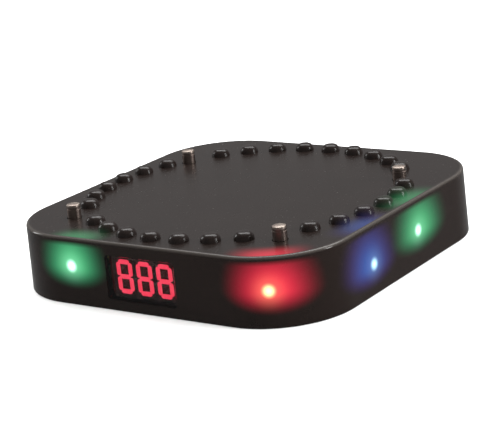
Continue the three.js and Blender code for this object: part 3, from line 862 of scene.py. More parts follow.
aerial_low, aerial_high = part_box("radio_antenna")
coil_radius = (aerial_high.z - aerial_low.z) / 2 - AERIAL_WIRE
coil_middle = (aerial_low + aerial_high) / 2
coil_start = aerial_low.x + AERIAL_WIRE / 2
coil_length = aerial_high.x - aerial_low.x - AERIAL_WIRE
coil = []
for step in range(AERIAL_TURNS * AERIAL_STEPS + 1):
    angle = 2 * math.pi * step / AERIAL_STEPS
    along = coil_start + coil_length * step / (AERIAL_TURNS * AERIAL_STEPS)
    across = coil_middle.y + coil_radius * math.cos(angle)
    coil.append((along, across, coil_middle.z + coil_radius * math.sin(angle)))
copper_finish = metal_finish("bare_copper", (0.52, 0.20, 0.09), (0.72, 0.34, 0.18), 0.30)
aerial = wire("aerial_coil", coil, AERIAL_WIRE, copper_finish)
fit(aerial, copper_finish, "copper_wire", "housing", "radio_antenna")

# ---- Battery --------------------------------------------------------------------------------
# A flat pouch cell of aluminium laminate, stuck to the board with foam tape. Amber tape closes
# its end, and its two leads run to a plug in an open nylon socket.
TAPE_BAND = 3.2 * MM
TAPE_START = 1.6 * MM
TAPE_PROUD = 0.08 * MM
LEAD_RADIUS = 0.55 * MM
LEAD_STEPS = 16
BATTERY_ROUND = 2.1 * MM

foam_finish = moulded_finish("foam_tape", (0.62, 0.59, 0.50), (0.82, 0.79, 0.70), 0.85, 700.0, 0.15 * MM)
tape_low, tape_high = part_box("battery_tape")
foam = smooth(brick("foam_tape", tape_low, tape_high, 0.08 * MM))
fit(foam, foam_finish, "foam_tape", "housing", "battery_tape")

cell_low, cell_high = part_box("battery")
pouch_finish = Finish("pouch_laminate", Metallic=0.85)
pouch_place = pouch_finish.place()
pouch_fold = pouch_finish.noise(pouch_place, 95.0, 5.0, 0.65)
pouch_grain = pouch_finish.noise(pouch_place, 1600.0, 2.0)
pouch_finish.set(
    Base_Color=pouch_finish.blend(pouch_fold, colour(0.50, 0.51, 0.53), colour(0.68, 0.70, 0.72)),
    Roughness=0.30 + 0.20 * pouch_fold + 0.10 * pouch_grain,
)
pouch_finish.relief(pouch_fold + pouch_grain * 0.1, 0.25 * MM, 0.6)
pouch = smooth(brick("battery_pouch", cell_low, cell_high, BATTERY_ROUND, 6), 50)
fit(pouch, pouch_finish, "battery_pouch", "housing", "battery")

amber_finish = Finish("amber_tape", IOR=1.6)
amber_tone = amber_finish.noise(amber_finish.place(), 180.0, 4.0)
amber_finish.set(
    Base_Color=amber_finish.blend(amber_tone, colour(0.42, 0.15, 0.012), colour(0.58, 0.24, 0.03)),
    Roughness=0.22 + 0.15 * amber_tone,
)
end_low = cell_low + Vector((TAPE_START, -TAPE_PROUD, -TAPE_PROUD))
end_high = Vector((cell_low.x + TAPE_START + TAPE_BAND, cell_high.y + TAPE_PROUD, cell_high.z + TAPE_PROUD))
end_tape = smooth(brick("battery_end_tape", end_low, end_high, BATTERY_ROUND * 0.72, 6), 50)
fit(end_tape, amber_finish, "battery_pouch", "housing")

for node in ("battery_socket", "battery_plug"):
    fit(smooth(refined(node + "_shell", node, 0.14 * MM)), nylon_finish, "nylon", "housing", node)

red_finish = moulded_finish("red_insulation", (0.36, 0.010, 0.010), (0.52, 0.020, 0.018), 0.42)
black_finish = moulded_finish("black_insulation", (0.010, 0.010, 0.010), (0.020, 0.020, 0.020), 0.42)
for node, side, finish, slot in (
    ("battery_lead_red", 1, red_finish, "red_jacket"),
    ("battery_lead_black", -1, black_finish, "black_jacket"),
):
    low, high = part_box(node)
    near_y = (low.y if side > 0 else high.y) + side * LEAD_RADIUS
    far_y = (high.y if side > 0 else low.y) - side * LEAD_RADIUS
    route = []
    for step in range(LEAD_STEPS + 1):
        share = step / LEAD_STEPS
        eased = share * share * (3 - 2 * share)
        route.append((
            low.x + (high.x - low.x) * share,
            near_y + (far_y - near_y) * eased,
            low.z + LEAD_RADIUS + (high.z - low.z - 2 * LEAD_RADIUS) * eased,
        ))
    fit(wire(node.replace("battery_", "pouch_"), route, LEAD_RADIUS, finish), finish, slot, "housing", node)

# ---- Buzzer ---------------------------------------------------------------------------------
# A round black sounder soldered to the board, with a sound port in the middle of its top and a
# shallow step round its rim.
BUZZER_RADIUS = 8.0 * MM
PORT_RADIUS = 1.1 * MM
PORT_DEPTH = 1.2 * MM
buzzer_low, buzzer_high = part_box("buzzer")
buzzer = turned("buzzer_shell", [
    (0, buzzer_low.z),
    (BUZZER_RADIUS - 0.3 * MM, buzzer_low.z),
    (BUZZER_RADIUS, buzzer_low.z + 0.3 * MM),
    (BUZZER_RADIUS, buzzer_high.z - 0.6 * MM),
    (BUZZER_RADIUS - 0.18 * MM, buzzer_high.z - 0.18 * MM),
    (BUZZER_RADIUS - 0.6 * MM, buzzer_high.z),
    (BUZZER_RADIUS - 1.5 * MM, buzzer_high.z),
    (BUZZER_RADIUS - 1.6 * MM, buzzer_high.z - 0.1 * MM),
    (PORT_RADIUS + 0.15 * MM, buzzer_high.z - 0.1 * MM),
    (PORT_RADIUS, buzzer_high.z - 0.25 * MM),
    (PORT_RADIUS, buzzer_high.z - PORT_DEPTH),
    (0, buzzer_high.z - PORT_DEPTH),
], 72, middle_of("buzzer")[:2])
fit(smooth(buzzer), epoxy_finish, "epoxy", "housing", "buzzer")

# ---- Shaker motor ---------------------------------------------------------------------------
# A small steel-cased motor on its side in a nylon saddle. A half-round sintered weight on its
# shaft hangs down at rest, and shakes the whole pager as it turns.
MOTOR_RADIUS = 4.2 * MM
MOTOR_LENGTH = 15 * MM
MOTOR_COLLAR = 1.6 * MM
MOTOR_BORE = 0.85 * MM
BORE_DEPTH = 3 * MM
SHAFT_RADIUS = 0.75 * MM
WEIGHT_RADIUS = 4.4 * MM
WEIGHT_HUB = 1.7 * MM
WEIGHT_BORE = 0.82 * MM
HALF_CUT = 9 * MM
can_low, can_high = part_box("motor_can")
motor_foot = Vector((can_low.x, (can_low.y + can_high.y) / 2, (can_low.z + can_high.z) / 2))


def laid(piece, start):
    """Turns a piece made about +Z so that it lies along +X from a place."""
    piece.data.transform(Matrix.Translation(start) @ Matrix.Rotation(math.pi / 2, 4, "Y"))
    return piece


can = turned("motor_case", [
    (0, 0),
    (1.3 * MM, 0),
    (1.4 * MM, 0.1 * MM),
    (MOTOR_RADIUS - 0.4 * MM, 0.1 * MM),
    (MOTOR_RADIUS - 0.09 * MM, 0.19 * MM),
    (MOTOR_RADIUS, 0.4 * MM),
    (MOTOR_RADIUS, 2.4 * MM),
    (MOTOR_RADIUS - 0.12 * MM, 2.5 * MM),
    (MOTOR_RADIUS - 0.12 * MM, 2.7 * MM),
    (MOTOR_RADIUS, 2.8 * MM),
    (MOTOR_RADIUS, MOTOR_LENGTH - 0.5 * MM),
    (MOTOR_RADIUS - 0.15 * MM, MOTOR_LENGTH - 0.15 * MM),
    (MOTOR_RADIUS - 0.5 * MM, MOTOR_LENGTH),
    (MOTOR_COLLAR, MOTOR_LENGTH),
    (MOTOR_COLLAR, can_high.x - can_low.x - 0.1 * MM),
    (MOTOR_COLLAR - 0.1 * MM, can_high.x - can_low.x),
    (MOTOR_BORE, can_high.x - can_low.x),
    (MOTOR_BORE, MOTOR_LENGTH - BORE_DEPTH),
    (0, MOTOR_LENGTH - BORE_DEPTH),
], 64)
case_finish = metal_finish("drawn_motor_case", (0.42, 0.41, 0.40), (0.60, 0.59, 0.57), 0.28, (0.1, 1.0, 1.0))
fit(smooth(laid(can, motor_foot)), case_finish, "steel", "housing", "motor_can")

saddle_low, saddle_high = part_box("motor_cradle")
saddle = brick("motor_saddle", saddle_low, saddle_high, 0.2 * MM)
hollow = laid(peg(MOTOR_RADIUS + 0.1 * MM, -MM, MOTOR_LENGTH + MM, (0, 0), 64), motor_foot)
fit(smooth(cut(saddle, hollow)), nylon_finish, "nylon", "housing", "motor_cradle")

shaft_low, shaft_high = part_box("motor_shaft")
shaft = turned("motor_spindle", [
    (0, shaft_low.x),
    (SHAFT_RADIUS, shaft_low.x),
    (SHAFT_RADIUS, shaft_high.x - 0.15 * MM),
    (SHAFT_RADIUS - 0.15 * MM, shaft_high.x),
    (0, shaft_high.x),
], 40)
laid(shaft, Vector((0, motor_foot.y, motor_foot.z)))
fit(smooth(shaft), steel_finish, "steel", "motor_rotor", "motor_shaft")

weight_low, weight_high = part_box("eccentric_weight")
weight_length = weight_high.x - weight_low.x
weight = turned("half_round_weight", [
    (0, 0),
    (WEIGHT_RADIUS - 0.2 * MM, 0),
    (WEIGHT_RADIUS, 0.2 * MM),
    (WEIGHT_RADIUS, weight_length - 0.2 * MM),
    (WEIGHT_RADIUS - 0.2 * MM, weight_length),
    (0, weight_length),
], 64)
cut(weight, brick("upper_half", (-HALF_CUT, -HALF_CUT, -MM), (0, HALF_CUT, weight_length + MM)))
fuse(weight, peg(WEIGHT_HUB, 0, weight_length, (0, 0), 48))
cut(weight, peg(WEIGHT_BORE, -MM, weight_length + MM, (0, 0), 48))
sintered_finish = metal_finish("sintered_weight", (0.16, 0.155, 0.15), (0.27, 0.26, 0.25), 0.50)
weight_start = Vector((weight_low.x, motor_foot.y, motor_foot.z))
fit(smooth(laid(weight, weight_start)), sintered_finish, "tungsten", "motor_rotor", "eccentric_weight")

# ---- Lamps ----------------------------------------------------------------------------------
# Nine small domed lamps of milky resin lie on bent legs close behind the wall and face it. Four
# of them are lit.
LAMP_RADIUS = 1.5 * MM
LAMP_FLANGE = 1.9 * MM
LAMP_FLANGE_THICK = 1.0 * MM
LAMP_LENGTH = 4.4 * MM
LAMP_LEG = 0.25 * MM
LAMP_LEG_SPREAD = 1.27 * MM
LAMP_LEG_BACK = 0.85 * MM
TIP_STEPS = 8
RESIN_GLOW = 4.0

# A lamp's colours: at the rim of the patch of glow that is painted on the shell, in that patch,
# and in its hot spot.
RED = (colour(0.60, 0.010, 0.045), colour(0.95, 0.030, 0.070), colour(1.0, 0.72, 0.30))
GREEN = (colour(0.030, 0.34, 0.15), colour(0.080, 0.56, 0.23), colour(0.60, 1.0, 0.82))
BLUE = (colour(0.10, 0.055, 0.40), colour(0.045, 0.13, 0.56), colour(0.50, 0.86, 1.0))
# Each lit lamp: its node, its colours and how strongly it shines.
LIT = [
    ("lamp_front_left", GREEN, 0.90),
    ("lamp_front_right", RED, 0.95),
    ("lamp_right_front", BLUE, 0.60),
    ("lamp_right_rear", GREEN, 0.80),
]


def lamp_line(node):
    """Where the back of a lamp's resin is, and which way it faces: from its feet to its tip."""
    points = [vert.co for vert in nodes[node].data.vertices]
    lowest = min(point.z for point in points)
    feet = [point for point in points if point.z < lowest + 0.01 * MM]
    middle = sum(feet, Vector()) / len(feet)
    tip = max(points, key=lambda point: (Vector(point[:2]) - Vector(middle[:2])).length)
    facing = Vector((tip.x - middle.x, tip.y - middle.y, 0)).normalized()
    return tip - facing * LAMP_LENGTH, facing


def resin_finish(name, dark, light, glow=None):
    made = moulded_finish(name, dark, light, 0.18)
    if glow:
        cloud = made.noise(made.place(), 600.0, 2.0)
        made.set(Emission_Color=made.blend(cloud, glow[1], glow[2]), Emission_Strength=RESIN_GLOW)
    return made


milky_finish = resin_finish("milky_resin", (0.70, 0.74, 0.78), (0.84, 0.87, 0.90))
lit_finishes = {
    node: resin_finish(node.replace("lamp", "lit_resin"), (0.70, 0.74, 0.78), (0.84, 0.87, 0.90), tints)
    for node, tints, _ in LIT
}
for node in LAMP_NODES:
    root, facing = lamp_line(node)
    straight = LAMP_LENGTH - LAMP_RADIUS
    profile = [
        (0, 0),
        (LAMP_FLANGE - 0.1 * MM, 0),
        (LAMP_FLANGE, 0.1 * MM),
        (LAMP_FLANGE, LAMP_FLANGE_THICK - 0.1 * MM),
        (LAMP_FLANGE - 0.1 * MM, LAMP_FLANGE_THICK),
        (LAMP_RADIUS, LAMP_FLANGE_THICK),
    ]
    for step in range(TIP_STEPS + 1):
        angle = math.pi / 2 * step / TIP_STEPS
        radius = LAMP_RADIUS * math.cos(angle) if step < TIP_STEPS else 0
        profile.append((radius, straight + LAMP_RADIUS * math.sin(angle)))
    bulb = laid(turned(node.replace("lamp", "bulb"), profile, 32), Vector())
    turn = Matrix.Rotation(math.atan2(facing.y, facing.x), 4, "Z")
    bulb.data.transform(Matrix.Translation(root) @ turn)
    finish = lit_finishes.get(node, milky_finish)
    fit(smooth(bulb), finish, "lamp_lens", "housing", node)
    legs = []
    drop = root.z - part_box(node)[0].z
    foot_front = 2 * LAMP_LEG - LAMP_LEG_BACK
    for side in (-1, 1):
        near, far = side * LAMP_LEG_SPREAD - LAMP_LEG, side * LAMP_LEG_SPREAD + LAMP_LEG
        back = -LAMP_LEG_BACK
        legs.append(brick("arm", (back, near, -LAMP_LEG), (0.2 * MM, far, LAMP_LEG), 0.06 * MM, 2))
        legs.append(brick("foot", (back, near, -drop), (foot_front, far, LAMP_LEG), 0.06 * MM, 2))
    pair = joined(node.replace("lamp", "legs"), legs)
    pair.data.transform(Matrix.Translation(root) @ turn)
    fit(smooth(pair), tinned_finish, "steel", "housing")

# ---- Charging posts -------------------------------------------------------------------------
# Turned pins that stand on the board, pass through the roof and carry the charging current up
# to the next pager. A flange under the roof keeps each one from pulling out.
POST_RADIUS = 1.8 * MM
POST_STEM = 1.0 * MM
POST_FLANGE = 3.0 * MM
POST_CHAMFER = 0.35 * MM
POST_GROOVE = 0.12 * MM
ROOF_UNDER = 15.5 * MM
FLANGE_TOP = ROOF_UNDER - 0.1 * MM
FLANGE_FOOT = ROOF_UNDER - 1 * MM
FLANGE_CHAMFER = 0.12 * MM
post_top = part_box(POST_NODES[0])[1].z
post_shoulder = board_high.z + 0.1 * MM
POST_TONE = (0.15, 0.118, 0.104)
POST_TIP_TONE = colour(0.34, 0.29, 0.25)
post_finish = plated_finish("plated_post", POST_TONE, POST_TIP_TONE, post_top, 1.1 * MM)
for node in POST_NODES:
    spot = middle_of(node)
    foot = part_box(node)[0].z
    post = turned(node.replace("charging_post", "post"), [
        (0, foot),
        (POST_STEM - 0.15 * MM, foot),
        (POST_STEM, foot + 0.15 * MM),
        (POST_STEM, post_shoulder),
        (POST_RADIUS, post_shoulder),
        (POST_RADIUS, FLANGE_FOOT),
        (POST_FLANGE - FLANGE_CHAMFER, FLANGE_FOOT),
        (POST_FLANGE, FLANGE_FOOT + FLANGE_CHAMFER),
        (POST_FLANGE, FLANGE_TOP - FLANGE_CHAMFER),
        (POST_FLANGE - FLANGE_CHAMFER, FLANGE_TOP),
        (POST_RADIUS, FLANGE_TOP),
        (POST_RADIUS, post_top - 1.3 * MM),
        (POST_RADIUS - POST_GROOVE, post_top - 1.2 * MM),
        (POST_RADIUS - POST_GROOVE, post_top - 0.95 * MM),
        (POST_RADIUS, post_top - 0.85 * MM),
        (POST_RADIUS, post_top - POST_CHAMFER),
        (POST_RADIUS - 0.1 * MM, post_top - 0.1 * MM),
        (POST_RADIUS - POST_CHAMFER, post_top),
        (0, post_top),
    ], 48, spot[:2])
    fit(smooth(post), post_finish, "bronze_post", "housing", node)

# ---- Display --------------------------------------------------------------------------------
# A block of black resin with three red digits, each of seven lit bars, behind a smoked window
# that is let flush into the front wall.
DIGIT_PITCH = 6.15 * MM
DIGIT_WIDTH = 4.8 * MM
DIGIT_HEIGHT = 8.8 * MM
BAR_WIDTH = 1.15 * MM
BAR_GAP = 0.12 * MM
BAR_DEEP = 0.28 * MM
BAR_BEVEL = 0.07 * MM
PLATE_SINK = 0.2 * MM
PLATE_ROUND = 0.4 * MM
PINS_FROM = 6.5 * MM
face_low, face_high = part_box("display_face")
display_middle = (face_low.z + face_high.z) / 2


def bar_outline(length, width, ends=4):
    """A lit bar lying along x: pointed ends with their points and shoulders rounded off."""
    half = width / 2
    points = []
    for side in (1, -1):
        tip = side * (length / 2 - BAR_GAP)
        shoulder = side * (length / 2 - BAR_GAP - half)
        for step in range(ends + 1):
            angle = math.pi / 2 - math.pi * step / ends
            round_x = shoulder + side * half * math.cos(angle) * 0.92
            points.append((round_x, side * half * math.sin(angle)))
    return points


def lit_bars(name):
    """The seven bars of each digit as one mesh, standing on the plate and facing the front."""
    shape = bmesh.new()
    across = DIGIT_WIDTH - BAR_WIDTH
    down = (DIGIT_HEIGHT - BAR_WIDTH) / 2
    bars = [(0, level * down, across, False) for level in (-1, 0, 1)]
    bars += [(side * across / 2, half * down, down, True) for side in (-1, 1) for half in (-0.5, 0.5)]
    front = face_low.y
    back = face_low.y + BAR_DEEP
    for digit in (-1, 0, 1):
        for x, z, length, upright in bars:
            outline = bar_outline(length, BAR_WIDTH)
            rings = []
            for y, shrink in ((back, 0.0), (front + 0.06 * MM, 0.0), (front, BAR_BEVEL)):
                ring = []
                for u, v in outline:
                    u -= math.copysign(shrink, u)
                    v -= math.copysign(min(shrink, abs(v)), v)
                    px, pz = (v, u) if upright else (u, v)
                    ring.append(shape.verts.new((digit * DIGIT_PITCH + x + px, y, display_middle + z + pz)))
                rings.append(ring)
            for outer, inner in zip(rings, rings[1:]):
                for i in range(len(outer)):
                    j = (i + 1) % len(outer)
                    shape.faces.new((outer[i], outer[j], inner[j], inner[i]))
            shape.faces.new(rings[0])
            shape.faces.new(rings[-1])
    return finished(name, shape)


bar_finish = Finish("lit_red_bar", Roughness=0.35, Emission_Strength=2.9)
bar_place = bar_finish.place()
bar_glow = bar_finish.spread(bar_finish.noise(bar_place, 700.0, 2.0), 0.3, 0.7)
bar_finish.set(
    Base_Color=bar_finish.blend(bar_glow, colour(0.45, 0.02, 0.03), colour(0.55, 0.03, 0.05)),
    Emission_Color=bar_finish.blend(bar_glow, colour(0.92, 0.060, 0.13), colour(1.0, 0.085, 0.18)),
)
digits = smooth(lit_bars("display_digits"))
fit(digits, bar_finish, "display_segments", "housing")

display_block = refined("display_block", "display_module", 0.1 * MM)
fit(smooth(display_block), epoxy_finish, "display_block", "housing", "display_module")
display_block.data.materials.append(tinned_finish.material)
for face in display_block.data.polygons:
    if face.center.y > face_high.y + PINS_FROM:
        face.material_index = 1

plate_shape = block_shape(Vector((face_low.x, face_low.y + PLATE_SINK, face_low.z)), face_high)
bmesh.ops.bevel(
    plate_shape,
    geom=[e for e in plate_shape.edges if abs(e.verts[0].co.y - e.verts[1].co.y) > 0.05 * MM],
    offset=PLATE_ROUND,
    segments=4,
    affect="EDGES",
)
face_plate = smooth(finished("display_plate", plate_shape))
plate_finish = Finish("display_plate_black", Specular_IOR_Level=0.05)
plate_place = plate_finish.place()
plate_grain = plate_finish.noise(plate_place, 1800.0, 3.0)
plate_x, _, plate_z = plate_finish.axes(plate_place)
# Painted glow: a faint red emission painted on the black plate round each digit, as light spilling from the
# bars.
digit_wave = (plate_x / DIGIT_PITCH).math("ROUND") * DIGIT_PITCH
painted_glow_x = plate_finish.spread(abs(plate_x - digit_wave), 1.6 * MM, 3.3 * MM, 1.0, 0.0, smooth=True)
painted_glow_z = plate_finish.spread(abs(plate_z - display_middle), 3.4 * MM, 5.2 * MM, 1.0, 0.0, smooth=True)
plate_finish.set(
    Base_Color=plate_finish.blend(plate_grain, colour(0.007, 0.005, 0.005), colour(0.012, 0.009, 0.008)),
    Roughness=0.62 + 0.16 * plate_grain,
    Emission_Color=plate_finish.blend(painted_glow_x * painted_glow_z, colour(0, 0, 0), colour(0.5, 0.012, 0.022)),
    Emission_Strength=0.12,
)
plate_finish.relief(plate_grain, 0.02 * MM, 0.4)
fit(face_plate, plate_finish, "display_segments", "housing", "display_face")

LENS_GAP = 0.015 * MM
LENS_EDGE = 0.02 * MM
LENS_ROUND = 0.9 * MM
LENS_CORNER_STEPS = 8
lens_low, lens_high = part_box("display_window")
wall_front = -SIDE / 2


def wall_block(name, gap, rounding, past):
    """A rounded block of the front wall, inset by a gap, with faces that run past the wall."""
    shape = bmesh.new()
    half_x = (lens_high.x - lens_low.x) / 2 - gap - rounding
    half_z = (lens_high.z - lens_low.z) / 2 - gap - rounding
    middle_z = (lens_low.z + lens_high.z) / 2
    rings = [[], [], [], []]
    for corner, (sx, sz) in enumerate(((1, 1), (-1, 1), (-1, -1), (1, -1))):
        for step in range(LENS_CORNER_STEPS + 1):
            angle = (corner + step / LENS_CORNER_STEPS) * math.pi / 2
            x = sx * half_x + rounding * math.cos(angle)
            z = middle_z + sz * half_z + rounding * math.sin(angle)
            lean = DRAFT * z / BODY_TOP
            outer = wall_front + lean - past
            inner = wall_front + WALL + lean + past
            edge = 0.0 if past else LENS_EDGE
            inset_x = x - math.copysign(edge, x)
            inset_z = z - math.copysign(edge, z - middle_z)
            rings[0].append(shape.verts.new((inset_x, outer, inset_z)))
            rings[1].append(shape.verts.new((x, outer + edge, z)))
            rings[2].append(shape.verts.new((x, inner - edge, z)))
            rings[3].append(shape.verts.new((inset_x, inner, inset_z)))
    for near, far in zip(rings, rings[1:]):
        for i in range(len(near)):
            j = (i + 1) % len(near)
            shape.faces.new((near[i], near[j], far[j], far[i]))
    shape.faces.new(rings[0])
    shape.faces.new(rings[-1])
    return finished(name, shape)


lens = smooth(wall_block("display_lens", 0.0, LENS_ROUND, 0.0))
ink_finish = Finish("black_ink", Specular_IOR_Level=0.0)
ink_grain = ink_finish.noise(ink_finish.place(), 900.0)
ink_finish.set(
    Base_Color=ink_finish.blend(ink_grain, colour(0.012, 0.009, 0.008), colour(0.018, 0.014, 0.012)),
    Roughness=0.75 + 0.2 * ink_grain,
)
lens_finish = Finish("smoked_lens", Transmission_Weight=1.0, IOR=1.3)
lens_place = lens_finish.place()
lens_smear = lens_finish.noise(lens_place, 260.0, 4.0, 0.6)
lens_finish.set(
    Base_Color=lens_finish.blend(lens_smear, colour(0.30, 0.215, 0.205), colour(0.34, 0.25, 0.24)),
    Roughness=lens_finish.spread(lens_smear, 0.3, 0.75, 0.015, 0.06),
)
fit(lens, lens_finish, "smoked_lens", "housing", "display_window")
lens.data.materials.append(ink_finish.material)
for face in lens.data.polygons:
    if abs(face.normal.y) < 0.5:
        face.material_index = 1

# ---- Top cover ------------------------------------------------------------------------------
# One glossy moulding of smoked plastic: the whole side wall with a crisp rounded top edge, and a
# flat roof. The light of the lamps behind the wall is painted on it as glow: a patch of the wall,
# and a band of the roof above each one.
EDGE_ROUND = 0.7 * MM
FOOT_ROUND = 0.3 * MM
RIM = 1.2 * MM
REBATE_TOP = 1.9 * MM
POST_OPENING = 2.0 * MM
ROOF_FILLET = 0.6 * MM

shell_levels = [
    (ROOF_UNDER, WALL + DRAFT + ROOF_FILLET),
    (ROOF_UNDER - ROOF_FILLET, WALL + DRAFT),
    (REBATE_TOP, WALL),
    (REBATE_TOP, RIM),
    (0.1 * MM, RIM),
    (0.0, RIM - 0.1 * MM),
]
shell_levels += arc_levels(FOOT_ROUND, FOOT_ROUND, FOOT_ROUND, -90, 0, 4)
shoulder = BODY_TOP - EDGE_ROUND
shell_levels.append((BODY_TOP / 2, DRAFT / 2))
shell_levels += arc_levels(shoulder, DRAFT + EDGE_ROUND, EDGE_ROUND, 0, 90, 8)
shell = skinned("top_cover_shell", shell_levels)
post_openings = [
    peg(POST_OPENING, ROOF_UNDER - MM, BODY_TOP + MM, middle_of(node)[:2], 48) for node in POST_NODES
]
window_opening = wall_block("window_opening", -LENS_GAP, LENS_ROUND + LENS_GAP, 1 * MM)
cut(shell, joined("post_openings", post_openings), window_opening)
smooth(shell, 34)

# Where the glow of each lit lamp is painted, as it shows through the wall from the front right, in
# millimetres: its painted hot spot, the middle of the painted patch round that, how far the patch
# reaches along the wall, and the roof's share.
PATCHES = {
    "lamp_front_left": ((-21.6, -47.3, 10.2), (-21.2, -47.3), 12.5, 0.045),
    "lamp_front_right": ((36.2, -44.9, 9.3), (37.0, -44.4), 14.0, 0.080),
    "lamp_right_front": ((47.3, -16.0, 7.6), (47.3, -17.8), 14.5, 0.065),
    "lamp_right_rear": ((47.3, 6.0, 9.4), (47.3, 6.6), 15.5, 0.050),
}
HALO_UP = 14.5 * MM
HALO_DOWN = 6.4 * MM
BLOOM = 7.0 * MM
HOT_RADIUS = 2.3 * MM
BAND_DEEP = 8.0 * MM
BAND_INSET = 3.0 * MM
BAND_REACH = 0.85
HALO_FALL = 1.12
WALL_SHARE = 0.130
HOT_SHARE = 0.35
BLOOM_SHARE = 0.022
DOME_SHARE = 0.3
GLOW_STRENGTH = 9.0


def outline_distance(finish, x, y):
    """How far inside the body's widest outline a point lies."""
    middle = SIDE / 2 - CORNER
    across = (abs(x) - middle).math("MAXIMUM", 0.0)
    along = (abs(y) - middle).math("MAXIMUM", 0.0)
    reach = (across * across + along * along).math("SQRT")
    inside = (abs(x) - middle).math("MAXIMUM", abs(y) - middle).math("MINIMUM", 0.0)
    return CORNER - reach - inside


shell_finish = Finish("gloss_smoked_shell", IOR=1.5, Specular_IOR_Level=0.22)
shell_place = shell_finish.place()
shell_x, shell_y, shell_z = shell_finish.axes(shell_place)
smear = shell_finish.noise(shell_place, 55.0, 5.0, 0.6)
fine = shell_finish.noise(shell_place, 420.0, 3.0, 0.5)
scratch_place = shell_finish.node("Mapping", sockets={
    "Vector": shell_place, "Scale": (1.0, 0.12, 1.0), "Rotation": (0.0, 0.0, 0.5),
})
scratch = shell_finish.spread(shell_finish.noise(scratch_place, 1500.0, 2.0, 0.7), 0.70, 0.78)
dust = shell_finish.spread(shell_finish.noise(shell_place, 1900.0, 1.0), 0.775, 0.81)
roof = shell_finish.spread(shell_z, BODY_TOP - 0.3 * MM, BODY_TOP - 0.05 * MM)
inset = outline_distance(shell_finish, shell_x, shell_y)
# Painted highlight: a lighter band painted round the rounded top edge.
edge_highlight_paint = shell_finish.spread(abs(inset - 0.75 * MM), 0.1 * MM, 0.75 * MM, 1.0, 0.0)
edge_highlight_paint = edge_highlight_paint * shell_finish.spread(shell_z, BODY_TOP - 0.8 * MM, BODY_TOP - 0.3 * MM)
body_tone = shell_finish.blend(smear, colour(0.0068, 0.0044, 0.0037), colour(0.0096, 0.0064, 0.0054))
body_tone = shell_finish.blend(edge_highlight_paint * 0.30, body_tone, colour(0.11, 0.10, 0.09))
body_tone = shell_finish.blend(dust * roof * 0.30, body_tone, colour(0.22, 0.21, 0.20))

low_down = shell_finish.spread(shell_z, BODY_TOP + 0.1 * MM, BODY_TOP + 1.2 * MM, 1.0, DOME_SHARE)
below_edge = shell_finish.spread(shell_z, BODY_TOP - 2.2 * MM, BODY_TOP - 0.9 * MM, 1.0, 0.0)
strip = shell_finish.spread(inset, 1.15 * MM, 1.5 * MM)
strip = strip * shell_finish.spread(inset, 1.6 * MM, 1.6 * MM + BAND_DEEP, 1.0, 0.0, smooth=True)
# Painted glow: each lit lamp's light is painted into the shell's emission as a patch on the wall, a band on
# the roof, a hot spot and a bloom round it, and the lamps are summed.
glow = None
for node, (rim, tint, heart), power in LIT:
    spot, patch, reach, roof_part = PATCHES[node]
    spot, patch, reach = Vector(spot) * MM, Vector(patch) * MM, reach * MM
    flat = (shell_x - patch.x) ** 2.0 + (shell_y - patch.y) ** 2.0
    above = (shell_z - spot.z).math("MAXIMUM", 0.0) / HALO_UP
    below = (shell_z - spot.z).math("MINIMUM", 0.0) / HALO_DOWN
    away = (flat / reach**2 + above * above + below * below).math("SQRT")
    halo = shell_finish.spread(away, 0.0, 1.0, 1.0, 0.0, smooth=True) ** HALO_FALL
    wall_share = halo * below_edge * (WALL_SHARE * power)
    inner = patch * (1 - BAND_INSET / patch.length)
    band_flat = (shell_x - inner.x) ** 2.0 + (shell_y - inner.y) ** 2.0
    band = shell_finish.spread(band_flat.math("SQRT"), 0.0, BAND_REACH * reach, 1.0, 0.0, smooth=True)
    roof_share = band * strip * roof * low_down * (roof_part * power)
    heat = (shell_x - spot.x) ** 2.0 + (shell_y - spot.y) ** 2.0 + (shell_z - spot.z) ** 2.0
    heat = heat.math("SQRT")
    hot = shell_finish.spread(heat, 0.0, HOT_RADIUS, 1.0, 0.0, smooth=True) ** 1.4 * power
    bloom = shell_finish.spread(heat, 0.0, BLOOM, 1.0, 0.0, smooth=True) ** 2.0 * below_edge
    shade = shell_finish.blend(shell_finish.spread(halo + band * roof, 0.1, 0.9), rim, tint)
    lit = shell_finish.blend(wall_share + roof_share, colour(0, 0, 0), shade)
    lit = shell_finish.blend(hot * HOT_SHARE + bloom * (BLOOM_SHARE * power), lit, heart)
    glow = lit if glow is None else shell_finish.blend(1.0, glow, lit, "ADD")

shell_finish.set(
    Base_Color=body_tone,
    Roughness=0.07 + 0.05 * smear + 0.03 * fine + 0.05 * scratch + (0.15 + 0.10 * dust) * roof,
    Emission_Color=glow,
    Emission_Strength=GLOW_STRENGTH,
)
shell_finish.relief(fine * 0.5 + smear, 0.02 * MM, 0.35)
fit(shell, shell_finish, "smoked_shell", "housing", "top_cover")

# ---- Ring of domes --------------------------------------------------------------------------
# Small flat-crowned domes moulded with the roof, in one circle. The circle leaves out a dome
# wherever a charging post stands in or beside it.
DOME_COUNT = 32
DOME_CIRCLE = 41.5 * MM
DOME_RADIUS = 2.6 * MM
DOME_RISE = 2.0 * MM
DOME_CLEARANCE = 4.6 * MM
DOME_SIDES = 28
DOME_LEVELS = 14
DOME_SINK = 0.04 * MM
CROWN_FLATNESS = 4.0
CROWN_SHARPNESS = 0.58


